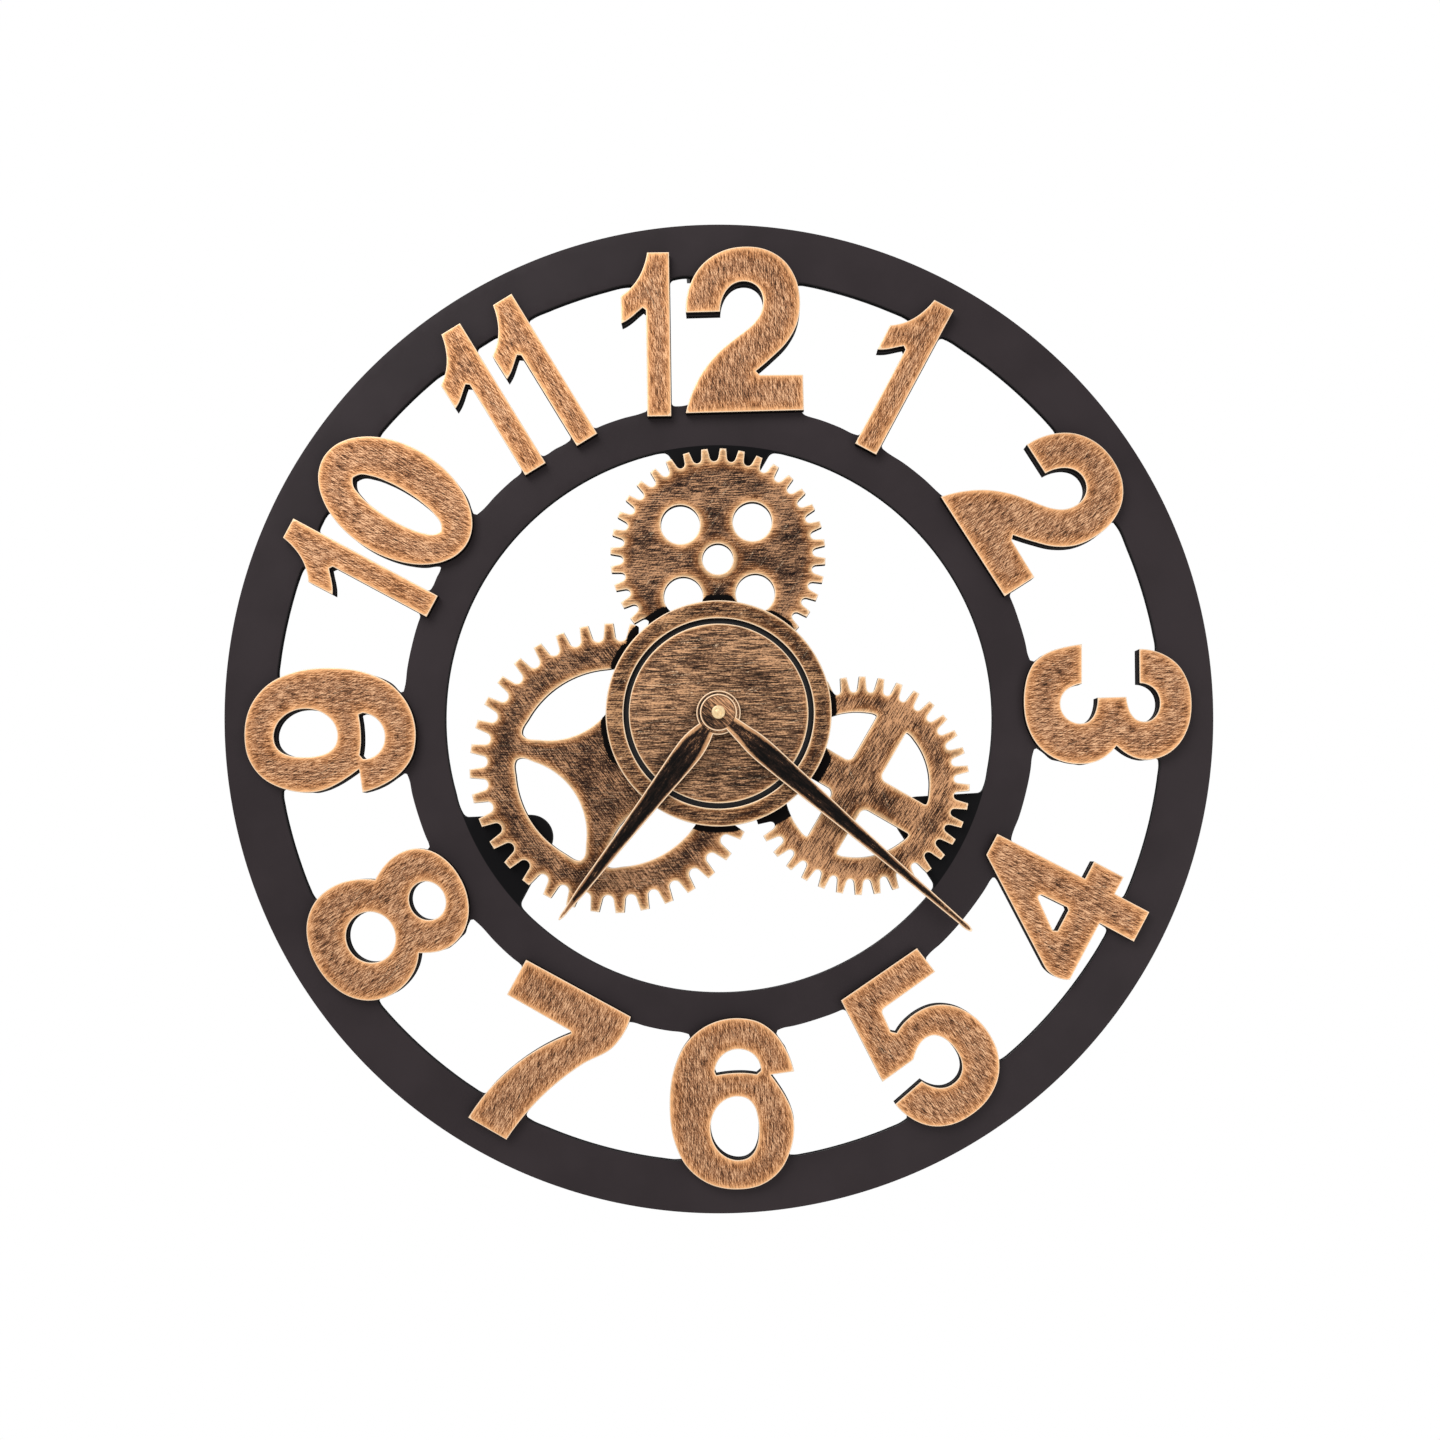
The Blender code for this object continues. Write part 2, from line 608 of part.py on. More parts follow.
def placed(local, centre, turn, scale):
    """Points of a gear's own drawing, scaled, turned counter-clockwise and moved to a centre."""
    cos, sin = math.cos(math.radians(turn)) * scale, math.sin(math.radians(turn)) * scale
    return [(centre[0] + x * cos - y * sin, centre[1] + x * sin + y * cos) for x, y in local]


def lens_window(gear, turn):
    """A window between the rim and a round web, with rounded corners."""
    outer_end = LENS_HALF_ANGLE - math.degrees(LENS_CORNER / LENS_RIM_RADIUS)
    corner = Vector(polar(LENS_RIM_RADIUS, LENS_HALF_ANGLE)) - Vector((LENS_BACK_PLACE, 0))
    corner_angle = math.degrees(math.atan2(corner.y, corner.x))
    back_end = corner_angle + math.degrees(LENS_CORNER / LENS_BACK_RADIUS)
    outer = arc(LENS_RIM_RADIUS, -outer_end, outer_end, 9)
    back = arc(LENS_BACK_RADIUS, back_end, 360 - back_end, 9, (LENS_BACK_PLACE, 0))
    tip = polar(LENS_RIM_RADIUS - 0.23 * LENS_CORNER, LENS_HALF_ANGLE - 0.5 * LENS_CORNER)
    local = [*outer, tip, *back, (tip[0], -tip[1])]
    return placed(local, gear["centre"], 90 - turn, gear["scale"])


def spoke_window(gear, turn):
    """A window between two spokes at right angles, closed by the rim."""
    reach = math.sqrt(SPOKE_WINDOW_RADIUS**2 - SPOKE_HALF_WIDTH**2)
    inner_round, outer_round = 4.0, 2.0
    first = math.degrees(math.asin((SPOKE_HALF_WIDTH + outer_round) / SPOKE_WINDOW_RADIUS))
    rim = arc(SPOKE_WINDOW_RADIUS, first, 90 - first, 9)
    near = SPOKE_HALF_WIDTH
    bend = near + inner_round * (1 - math.sqrt(0.5))
    local = [
        (near + inner_round, near), (reach - outer_round, near), (reach - 0.45, near + 0.55), *rim,
        (near + 0.55, reach - 0.45), (near, reach - outer_round), (near, near + inner_round), (bend, bend),
    ]
    centre = placed([SPOKE_WINDOW_CENTRE], gear["centre"], 0, gear["scale"])[0]
    return placed(local, centre, turn, gear["scale"])


def top_holes(gear):
    """A hole in the middle and four round it."""
    scale = gear["scale"]
    middle = placed([TOP_HOLES_OFFSET], gear["centre"], 0, scale)[0]
    places = [polar(TOP_HOLE_PLACE * scale, 45 + TOP_HOLES_TURN + 90 * i, middle) for i in range(4)]
    return [
        circle(TOP_CENTRE_HOLE_RADIUS * scale, 24, middle),
        *(circle(TOP_HOLE_RADIUS * scale, 24, place) for place in places),
    ]


def meeting_cutter(first, second, keep_first):
    """A block that ends at the line through the points where two gears' tip circles cross."""
    a, b = Vector(first["centre"]), Vector(second["centre"])
    apart = (b - a).length
    along = (apart**2 + first["tip"] ** 2 - second["tip"] ** 2) / (2 * apart)
    direction = (b - a).normalized()
    side = Vector((-direction.y, direction.x))
    start = a + direction * (along - (SEAT / 2 if keep_first else -SEAT / 2))
    away = direction if keep_first else -direction
    reach = 80.0
    corners = [start - side * reach, start + side * reach]
    outline = [*corners, corners[1] + away * reach, corners[0] + away * reach]
    return plate("meeting_cutter", [[tuple(p) for p in outline]], PLATE_FRONT - 1, PLATE_BACK + 1, CUTTERS)


def hub_screw_places():
    return [polar(HUB_RADIUS - HUB_SCREW_INSET, degrees, (0, AXIS_Z)) for degrees in HUB_SCREW_DIRECTIONS]


def make_gears():
    top, left, right = (fitted_gear(**gear) for gear in (TOP_GEAR, LEFT_GEAR, RIGHT_GEAR))
    gears = {"gear_plate_top": top, "gear_plate_left": left, "gear_plate_right": right}
    windows = {
        "gear_plate_top": top_holes(top),
        "gear_plate_left": [lens_window(left, turn) for turn in LENS_TURNS],
        "gear_plate_right": [spoke_window(right, SPOKE_TURN + 90 * i) for i in range(4)],
    }
    plates = {
        node: plate(node, [gear_outline(**gear), *windows[node]], PLATE_FRONT, PLATE_BACK)
        for node, gear in gears.items()
    }
    tab_at = dict(zip(gears, tab_places()))
    hub_at = dict(zip(gears, hub_screw_places()))
    cuts = {
        "gear_plate_top": [meeting_cutter(top, left, True)],
        "gear_plate_left": [
            meeting_cutter(top, left, False),
            meeting_cutter(left, right, True),
            cylinder(
                "bushing_hole", BUSHING_RADIUS + BUSHING_HOLE_CLEARANCE, PLATE_FRONT - 1, PLATE_BACK + 1,
                0, AXIS_Z, 20, CUTTERS,
            ),
        ],
        "gear_plate_right": [meeting_cutter(left, right, False)],
    }
    for node, obj in plates.items():
        tab_x, tab_z = tab_at[node]
        hub_x, hub_z = hub_at[node]
        drilled = [
            screw_hole(tab_x, tab_z, PLATE_BACK - TAB_SCREW_BITE - 0.5, PLATE_BACK + 1),
            screw_hole(hub_x, hub_z, PLATE_FRONT - 1, PLATE_BACK + 1),
        ]
        finish(combine(obj, cuts[node] + drilled, "DIFFERENCE"), BRONZE)


def make_hub():
    centre = (0, AXIS_Z)
    hole = BUSHING_RADIUS + BUSHING_HOLE_CLEARANCE
    base = plate(
        "hub_base", [circle(HUB_RADIUS, HUB_SIDE_COUNT, centre), circle(hole, 20, centre)],
        HUB_BASE_FRONT, HUB_BASE_BACK,
    )
    drilled = [
        screw_hole(x, z, HUB_BASE_BACK - HUB_SCREW_BITE - 0.3, HUB_BASE_BACK + 1) for x, z in hub_screw_places()
    ]
    finish(combine(base, drilled, "DIFFERENCE"), BLACK)
    ring = [circle(HUB_RADIUS, HUB_SIDE_COUNT, centre), circle(GROOVE_OUTER_RADIUS, HUB_SIDE_COUNT, centre)]
    finish(plate("hub_ring", ring, HUB_FRONT, HUB_TOP_BACK), BRONZE)
    disc = [circle(GROOVE_INNER_RADIUS, HUB_SIDE_COUNT, centre), circle(hole, 20, centre)]
    finish(plate("hub_disc", disc, HUB_FRONT, HUB_TOP_BACK), BRONZE)


HOUR_BLADE = (
    (12.1, 5.2), (17, 6.6), (21.5, 7.5), (27, 8.0), (33, 7.9), (49, 6.9), (68, 5.75), (98, 4.15), (131, 2.9),
    (147, 1.5), (154, 0.9), (155.8, 0.3),
)
MINUTE_BLADE = (
    (10.0, 4.5), (21, 5.9), (27, 6.7), (33, 7.05), (39, 7.0), (68, 5.85), (102, 4.35), (137, 3.15), (161, 2.45),
    (190, 1.7), (196.5, 1.4), (198.7, 0.6),
)


def hand_outline(blade, boss_radius):
    """A round boss with a blade along +x that swells from its neck and tapers to the tip."""
    neck = math.degrees(math.atan2(blade[0][1], blade[0][0]))
    boss = arc(boss_radius, neck, 360 - neck, 21)
    lower = [(along, -half) for along, half in blade[1:]]
    return [*boss, *lower, *[(along, half) for along, half in reversed(blade[1:])]]


def make_pivot(name):
    pivot = bpy.data.objects.new(name, None)
    PARTS.objects.link(pivot)
    pivot.parent = ROOT
    pivot.location = (0, 0, AXIS_Z * MM)
    return pivot


def make_hands():
    hands = (
        ("hour_hand", HOUR_BLADE, HOUR_BOSS_RADIUS, HOUR_PIPE_RADIUS, HOUR_HAND_TURN, HOUR_HAND_FRONT),
        ("minute_hand", MINUTE_BLADE, MINUTE_BOSS_RADIUS, MINUTE_SHAFT_RADIUS, MINUTE_HAND_TURN, MINUTE_HAND_FRONT),
    )
    for name, blade, boss, shaft, turn, front in hands:
        loops = [hand_outline(blade, boss), circle(shaft + RUNNING_FIT, 14)]
        hand = plate(name, loops, front, front + HAND_THICKNESS)
        finish(hand, HAND_BLACK, make_pivot(name + "_pivot"))
        hand.rotation_euler = (0, math.radians(turn - 90), 0)
    cap = turned(
        "cap_nut",
        [
            (0, CAP_NUT_BACK - 2.0), (MINUTE_SHAFT_RADIUS + RUNNING_FIT, CAP_NUT_BACK - 2.0),
            (MINUTE_SHAFT_RADIUS + RUNNING_FIT, CAP_NUT_BACK), (CAP_NUT_RADIUS, CAP_NUT_BACK),
            (CAP_NUT_RADIUS, CAP_NUT_FRONT + 0.4), (CAP_NUT_RADIUS - 0.4, CAP_NUT_FRONT), (0, CAP_NUT_FRONT),
        ],
        0, AXIS_Z, 16,
    )
    finish(cap, BRASS, smooth=True)


# Train: each arbor's place from the hand axis, found from the wheels that mesh on it
MINUTE_WHEEL_TEETH = 48
THIRD_WHEEL_TEETH = 45
TRAIN_PINION_TEETH = 6
MINUTE_PINION_TEETH = 12
MOTION_WHEEL_TEETH = 36
MOTION_PINION_TEETH = 10
HOUR_WHEEL_TEETH = 40
ARBOR_RADIUS = 0.5
STEM_RADIUS = 1.0
REAR_PIVOT_RADIUS = 0.7
TRAIN_PLATE_FRONT = 4.8
TRAIN_PLATE_BACK = 5.8
COVER_FRONT = CASE_BACK - CASE_WALL


def mesh_distance(module, first, second):
    return module * (first + second) / 2


def from_arbor(place, distance, degrees):
    return polar(distance, degrees, place)


CENTRE_ARBOR = (0.0, AXIS_Z)
THIRD_ARBOR = from_arbor(CENTRE_ARBOR, mesh_distance(TRAIN_MODULE, MINUTE_WHEEL_TEETH, TRAIN_PINION_TEETH), 50)
ROTOR_ARBOR = from_arbor(THIRD_ARBOR, mesh_distance(TRAIN_MODULE, THIRD_WHEEL_TEETH, TRAIN_PINION_TEETH), 48)
MOTION_DISTANCE = mesh_distance(MOTION_MODULE, MINUTE_PINION_TEETH, MOTION_WHEEL_TEETH)
MOTION_ARBOR = from_arbor(CENTRE_ARBOR, MOTION_DISTANCE, 165)
SETTING_ARBOR = from_arbor(MOTION_ARBOR, MOTION_DISTANCE, 90)
HOUR_MODULE = 2 * MOTION_DISTANCE / (MOTION_PINION_TEETH + HOUR_WHEEL_TEETH)


def toothed(teeth, module, place, turn):
    """A fine wheel's outline with pointed teeth. The turn is where one tooth points, in degrees."""
    pitch = module * teeth / 2
    points = []
    for i in range(teeth):
        middle = turn + 360 * i / teeth
        points.append(polar(pitch + 0.72 * module, middle, place))
        points.append(polar(pitch - 0.95 * module, middle + 180 / teeth, place))
    return points


def meshed_turn(place, other, other_teeth, other_turn, teeth):
    """Turns a wheel so that one of its valleys faces the tooth next to the line of centres."""
    towards = math.degrees(math.atan2(place[1] - other[1], place[0] - other[0]))
    other_pitch, pitch = 360 / other_teeth, 360 / teeth
    offset = (towards - other_turn) / other_pitch
    phase = offset - math.floor(offset)
    return towards + 180 + (phase + 0.5) * pitch


def stacked(name, place, layers, material):
    """An arbor with its wheels: layers are (outline or radius, front, back), joined into one body."""
    pieces = []
    for index, (section, front, back) in enumerate(layers):
        collection = PARTS if index == 0 else CUTTERS
        label = name if index == 0 else name + "_layer"
        if isinstance(section, list):
            pieces.append(plate(label, [section], front, back, collection))
        else:
            pieces.append(cylinder(label, section, front, back, *place, 12, collection))
    body = combine(pieces[0], pieces[1:], "UNION") if len(pieces) > 1 else pieces[0]
    return finish(body, material)


def make_train():
    motion_turn = meshed_turn(MOTION_ARBOR, CENTRE_ARBOR, MINUTE_PINION_TEETH, 0, MOTION_WHEEL_TEETH)
    hour_turn = meshed_turn(CENTRE_ARBOR, MOTION_ARBOR, MOTION_PINION_TEETH, motion_turn, HOUR_WHEEL_TEETH)
    setting_turn = meshed_turn(SETTING_ARBOR, MOTION_ARBOR, MOTION_WHEEL_TEETH, motion_turn, MINUTE_PINION_TEETH)
    third_turn = meshed_turn(THIRD_ARBOR, CENTRE_ARBOR, MINUTE_WHEEL_TEETH, 0, TRAIN_PINION_TEETH)
    rotor_turn = meshed_turn(ROTOR_ARBOR, THIRD_ARBOR, THIRD_WHEEL_TEETH, third_turn, TRAIN_PINION_TEETH)

    minute_pinion = toothed(MINUTE_PINION_TEETH, MOTION_MODULE, CENTRE_ARBOR, 0)
    minute_wheel = toothed(MINUTE_WHEEL_TEETH, TRAIN_MODULE, CENTRE_ARBOR, 0)
    stacked(
        "minute_arbor", CENTRE_ARBOR,
        [(MINUTE_SHAFT_RADIUS, CAP_NUT_BACK - 1.7, 0.6), (REAR_PIVOT_RADIUS, 0, 6.4), (minute_pinion, -2.0, -0.7),
         (minute_wheel, 0.2, 1.0)],
        STEEL,
    )
    hour_wheel = plate(
        "hour_wheel",
        [toothed(HOUR_WHEEL_TEETH, HOUR_MODULE, CENTRE_ARBOR, hour_turn),
         circle(MINUTE_SHAFT_RADIUS + RUNNING_FIT, 14, CENTRE_ARBOR)],
        -3.3, -2.4,
    )
    pipe = plate(
        "hour_pipe",
        [circle(HOUR_PIPE_RADIUS, 16, CENTRE_ARBOR),
         circle(MINUTE_SHAFT_RADIUS + RUNNING_FIT, 14, CENTRE_ARBOR)],
        HOUR_HAND_FRONT - 0.6, -2.4, CUTTERS,
    )
    finish(combine(hour_wheel, [pipe], "UNION"), WHEEL_PLASTIC)
    stacked(
        "motion_wheel", MOTION_ARBOR,
        [(REAR_PIVOT_RADIUS, -3.4, 6.2),
         (toothed(MOTION_PINION_TEETH, HOUR_MODULE, MOTION_ARBOR, motion_turn), -3.3, -2.2),
         (toothed(MOTION_WHEEL_TEETH, MOTION_MODULE, MOTION_ARBOR, motion_turn), -1.9, -0.9)],
        WHEEL_PLASTIC,
    )
    stacked(
        "setting_knob", SETTING_ARBOR,
        [(STEM_RADIUS, -2.6, CASE_BACK + 0.6),
         (toothed(MINUTE_PINION_TEETH, MOTION_MODULE, SETTING_ARBOR, setting_turn), -2.0, -0.8),
         (circle(5.0, 18, SETTING_ARBOR), CASE_BACK + 0.3, CASE_BACK + 2.4)],
        CASE_PLASTIC,
    )
    stacked(
        "third_wheel", THIRD_ARBOR,
        [(ARBOR_RADIUS, -0.4, 6.2),
         (toothed(TRAIN_PINION_TEETH, TRAIN_MODULE, THIRD_ARBOR, third_turn), 0.1, 1.3),
         (toothed(THIRD_WHEEL_TEETH, TRAIN_MODULE, THIRD_ARBOR, third_turn), 2.0, 2.7)],
        WHEEL_PLASTIC,
    )
    stacked(
        "rotor", ROTOR_ARBOR,
        [(ARBOR_RADIUS, 1.3, 9.0),
         (toothed(TRAIN_PINION_TEETH, TRAIN_MODULE, ROTOR_ARBOR, rotor_turn), 1.9, 2.9),
         (circle(2.9, 16, ROTOR_ARBOR), 6.5, 8.5)],
        STEEL,
    )


def make_case():
    half = CASE_SIDE / 2
    inside = half - CASE_WALL
    case = box("movement_case", (-half, CASE_FRONT, AXIS_Z - half), (half, CASE_BACK, AXIS_Z + half))
    bushing = cylinder("bushing", BUSHING_RADIUS, BUSHING_FRONT, CASE_FRONT + 0.5, 0, AXIS_Z, 16, CUTTERS)
    combine(case, [bushing], "UNION")
    floor = CASE_FRONT + CASE_WALL
    compartment = box(
        "compartment", (-inside, floor, AXIS_Z + COMPARTMENT_BOTTOM), (inside, CASE_BACK + 1, AXIS_Z + inside), CUTTERS
    )
    bay = box("bay", (-inside, floor, AXIS_Z - inside), (inside, CASE_BACK + 1, AXIS_Z + BAY_TOP), CUTTERS)
    bore = cylinder(
        "bore", HOUR_PIPE_RADIUS + RUNNING_FIT, BUSHING_FRONT - 1, floor + 0.5, 0, AXIS_Z, 20, CUTTERS
    )
    finish(combine(case, [compartment, bay, bore], "DIFFERENCE"), CASE_PLASTIC)

    low_x, high_x = -inside + SEAT, inside - SEAT
    low_z, high_z = AXIS_Z + COMPARTMENT_BOTTOM + SEAT, AXIS_Z + inside - SEAT
    sheet = [(low_x, low_z), (high_x, low_z), (high_x, high_z), (low_x, high_z)]
    bearings = [
        circle(radius + RUNNING_FIT, 10, place)
        for radius, place in (
            (REAR_PIVOT_RADIUS, CENTRE_ARBOR), (ARBOR_RADIUS, THIRD_ARBOR), (ARBOR_RADIUS, ROTOR_ARBOR),
            (REAR_PIVOT_RADIUS, MOTION_ARBOR), (STEM_RADIUS, SETTING_ARBOR),
        )
    ]
    finish(plate("train_plate", [sheet, *bearings], TRAIN_PLATE_FRONT, TRAIN_PLATE_BACK), WHEEL_PLASTIC)
    stem_hole = circle(STEM_RADIUS + RUNNING_FIT, 16, SETTING_ARBOR)
    finish(plate("rear_cover", [sheet, stem_hole], COVER_FRONT, CASE_BACK), CASE_PLASTIC)

    bushing_hole = circle(BUSHING_RADIUS + 0.1, 16, CENTRE_ARBOR)
    gasket = [circle(GASKET_RADIUS, 20, CENTRE_ARBOR), bushing_hole]
    finish(plate("gasket", gasket, PLATE_BACK + SEAT, CASE_FRONT - SEAT), RUBBER)
    washer = [circle(WASHER_RADIUS, 20, CENTRE_ARBOR), bushing_hole]
    finish(plate("dial_washer", washer, WASHER_BACK - WASHER_THICKNESS, WASHER_BACK), BRASS)
    corner = NUT_ACROSS / 2 / math.cos(math.radians(30))
    finish(plate("dial_nut", [circle(corner, 6, CENTRE_ARBOR), bushing_hole], NUT_FRONT, NUT_BACK), BRASS)


def make_motor():
    """Stator, coil, circuit board and crystal beside the rotor."""
    rx, rz = ROTOR_ARBOR
    low_x, high_x, low_z, high_z = -6.0, 18.0, rz - 4.2, AXIS_Z + 25.0
    outline = [(low_x, low_z), (high_x, low_z), (high_x, high_z), (low_x, high_z)]
    window = [(-3.0, low_z + 3.0), (8.5, low_z + 3.0), (8.5, high_z - 3.4), (-3.0, high_z - 3.4)]
    finish(plate("stator", [outline, window, circle(3.4, 20, (rx, rz))], 6.9, 8.0), STEEL)
    bar_low = high_z - 3.4
    coil = box("coil", (-2.6, 6.2, bar_low - 1.0), (8.1, 9.0, high_z + 1.0))
    tunnel = box("tunnel", (-4, 6.8, bar_low - 0.1), (10, 8.1, high_z + 0.1), CUTTERS)
    finish(combine(coil, [tunnel], "DIFFERENCE"), COPPER_WIRE)
    board = [(-25.6, AXIS_Z + 3.0), (-15.5, AXIS_Z + 3.0), (-15.5, high_z), (-25.6, high_z)]
    finish(plate("circuit_board", [board], TRAIN_PLATE_BACK + SEAT, TRAIN_PLATE_BACK + SEAT + 1.0), CIRCUIT)
    crystal = cylinder(
        "quartz_crystal", 1.2, TRAIN_PLATE_BACK + SEAT + 1.3, TRAIN_PLATE_BACK + SEAT + 3.3, -20.0, AXIS_Z + 16.0, 12
    )
    finish(crystal, STEEL)


def lying(obj):
    """Turns a piece made about a front-to-back axis so that its axis runs from left to right."""
    turn = Matrix.Rotation(math.radians(-90), 4, "Z")
    obj.data.transform(turn)
    return obj


def make_supply():
    """The cell lies across the bay, between two contacts. Its +y side of the profile points to the right."""
    middle_y = CASE_BACK - CELL_RADIUS - 0.1
    cell = turned(
        "cell",
        [(0, -24.4), (CELL_RADIUS - 0.6, -24.4), (CELL_RADIUS, -23.8), (CELL_RADIUS, 23.2),
         (CELL_RADIUS - 0.6, 23.8), (2.6, 23.8), (2.6, 25.0), (0, 25.0)],
        0, 0, 16,
    )
    minus = turned("contact_minus", [(0, -26.1), (4.0, -26.1), (2.4, -24.7), (0, -24.7)], 0, 0, 10)
    plus = turned("contact_plus", [(0, 25.3), (4.0, 25.3), (4.0, 26.1), (0, 26.1)], 0, 0, 10)
    for obj, material in ((cell, CELL_SLEEVE), (minus, STEEL), (plus, STEEL)):
        lying(obj)
        finish(obj, material, smooth=True)
        obj.location = (0, middle_y * MM, (AXIS_Z + CELL_Z) * MM)


def make_wall_fixing():
    half, foot = HANGER_WIDTH / 2, 8.0
    inner = half - HANGER_SHEET
    section = [
        (-half - foot, SEAT), (-inner, SEAT), (-inner, WALL_Y - HANGER_SHEET), (inner, WALL_Y - HANGER_SHEET),
        (inner, SEAT), (half + foot, SEAT), (half + foot, SEAT + HANGER_SHEET), (half, SEAT + HANGER_SHEET),
        (half, WALL_Y), (-half, WALL_Y), (-half, SEAT + HANGER_SHEET), (-half - foot, SEAT + HANGER_SHEET),
    ]
    hanger = plate("wall_hanger", [section], -HANGER_ABOVE, HANGER_BELOW)
    hanger.data.transform(Matrix.Translation((0, 0, HANGER_RADIUS * MM)) @ Matrix.Rotation(-math.pi / 2, 4, "X"))
    centre = (0, HANGER_RADIUS + KEYHOLE_Z)
    slot_end = (0, centre[1] + KEYHOLE_SLOT_RISE)
    mouth = math.degrees(math.acos(KEYHOLE_SLOT_RADIUS / KEYHOLE_RADIUS))
    keyhole = [*arc(KEYHOLE_SLOT_RADIUS, 180, 0, 7, slot_end), *arc(KEYHOLE_RADIUS, mouth, -180 - mouth, 15, centre)]
    slot = plate("slot", [keyhole], WALL_Y - HANGER_SHEET - 1, WALL_Y + 1, CUTTERS)
    finish(combine(hanger, [slot], "DIFFERENCE"), BLACK)
    profile = [
        (0, SEAT), (BUFFER_RADIUS, SEAT), (BUFFER_RADIUS, WALL_Y - 1), (BUFFER_RADIUS - 1, WALL_Y), (0, WALL_Y),
    ]
    for name, degrees in zip(("wall_buffer_right", "wall_buffer_left"), BUFFER_ANGLES):
        x, z = polar(BUFFER_PLACE, degrees)
        finish(turned(name, profile, x, z, 16), RUBBER)


def screw_profile(seat, bite):
    head = seat + SEAT
    return [
        (0, head + SCREW_HEAD_HEIGHT), (SCREW_HEAD_RADIUS, head + SCREW_HEAD_HEIGHT - 0.5),
        (SCREW_HEAD_RADIUS, head), (SCREW_RADIUS, head), (SCREW_RADIUS, bite), (0, bite),
    ]


def make_screws():
    groups = (
        ("tab_screw", tab_places(), screw_profile(0, PLATE_BACK - TAB_SCREW_BITE)),
        ("hub_screw", hub_screw_places(), screw_profile(PLATE_BACK, HUB_BASE_BACK - HUB_SCREW_BITE)),
    )
    for name, places, profile in groups:
        for side, (x, z) in zip(("top", "left", "right"), places):
            finish(turned(f"{name}_{side}", profile, x, z, 8), STEEL)


make_board()
make_digits()
make_gears()
make_hub()
make_hands()
make_case()
make_train()
make_motor()
make_supply()
make_wall_fixing()
make_screws()
for helper in list(CUTTERS.objects):
    bpy.data.objects.remove(helper)
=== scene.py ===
"""Wall clock of numbers and gears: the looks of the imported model.

Lengths in the classes are millimetres unless a name says otherwise; the frame is in metres, with the
front towards -Y. Plates are drawn from the outlines of their solids, so they stay where the solids are.
"""

import logging
import math
from collections.abc import Callable
from dataclasses import dataclass, field
from enum import Enum

import bmesh
import bpy
import numpy as np
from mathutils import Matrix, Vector, kdtree
from mathutils.geometry import delaunay_2d_cdt


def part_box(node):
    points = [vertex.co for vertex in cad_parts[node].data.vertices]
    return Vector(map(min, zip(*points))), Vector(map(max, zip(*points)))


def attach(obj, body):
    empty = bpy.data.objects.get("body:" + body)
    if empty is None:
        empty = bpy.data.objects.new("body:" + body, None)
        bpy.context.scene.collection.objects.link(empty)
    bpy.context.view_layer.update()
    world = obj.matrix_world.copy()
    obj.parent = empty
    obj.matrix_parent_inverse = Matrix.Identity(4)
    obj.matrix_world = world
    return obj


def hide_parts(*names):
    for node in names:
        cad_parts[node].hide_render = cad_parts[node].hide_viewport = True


LOG = logging.getLogger("wall_clock")

Triple = tuple[float, float, float]

MM = 0.001
CENTRE_HEIGHT = -0.288
AXIS_HEIGHT = -0.2856
AXIS = (0.0, 0.0, AXIS_HEIGHT)
HUB_RADIUS = 67.7
RINGS_HOLE = 166.1
QUARTER = math.pi / 2
HOUR_TURN = 30
FLAT = (1.0, 0.0, 1.0)
MATT = 0.95
WELD = 1e-7
PLATE_WELD = 2e-6
TAG_RIM = "rim"
TAG_GRAIN = "grain"
SHARED_KINDS = ("Math", "CombineXYZ")

# Inset and depth of each point of a plate's rounded rim, in widths of the rim.
ROUNDING = ((1.0, 0.0), (0.42, 0.13), (0.12, 0.45), (0.0, 1.0))

# Direction and half width in degrees, and reach, of each crescent of painted shade: black round the hub on the
# gears.
HUB_SHADE_CRESCENTS = (
    (90, 8, 4.5), (57, 8, 2.8), (128, 15, 5.5), (150, 8, 4.2), (193, 13, 3.8), (5, 7, 3.5), (-28, 9, 5.5),
    (-91, 15, 3.6), (-60, 15, 7.5),
)

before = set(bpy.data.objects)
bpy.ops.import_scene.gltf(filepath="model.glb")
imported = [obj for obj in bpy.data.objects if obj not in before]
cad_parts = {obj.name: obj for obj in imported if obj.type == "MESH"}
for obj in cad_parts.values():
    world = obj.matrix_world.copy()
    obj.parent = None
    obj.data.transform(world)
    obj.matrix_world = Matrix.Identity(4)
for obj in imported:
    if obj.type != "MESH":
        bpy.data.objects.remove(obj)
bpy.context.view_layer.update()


def shade(red: float, green: float, blue: float) -> Triple:
    """Turns a colour read off a screen into the linear numbers that a shader takes.

    Args:
        red: Red, 0 to 255.
        green: Green, 0 to 255.
        blue: Blue, 0 to 255.

    Returns:
        The linear red, green and blue.
    """
    parts = (part / 255 for part in (red, green, blue))
    return tuple(part / 12.92 if part <= 0.04045 else ((part + 0.055) / 1.055) ** 2.4 for part in parts)


def operator(operation: str, swapped: bool = False) -> Callable[["Value", "Value | float"], "Value"]:
    """Makes a method of Value that adds a Math node.

    Args:
        operation: The node's operation.
        swapped: Whether the other value comes first.

    Returns:
        The method.
    """

    def act(self: "Value", other: "Value | float") -> "Value":
        """Adds the node."""
        first, second = (other, self) if swapped else (self, other)
        return self.tree.node("Math", {"operation": operation}, {0: first, 1: second})

    return act


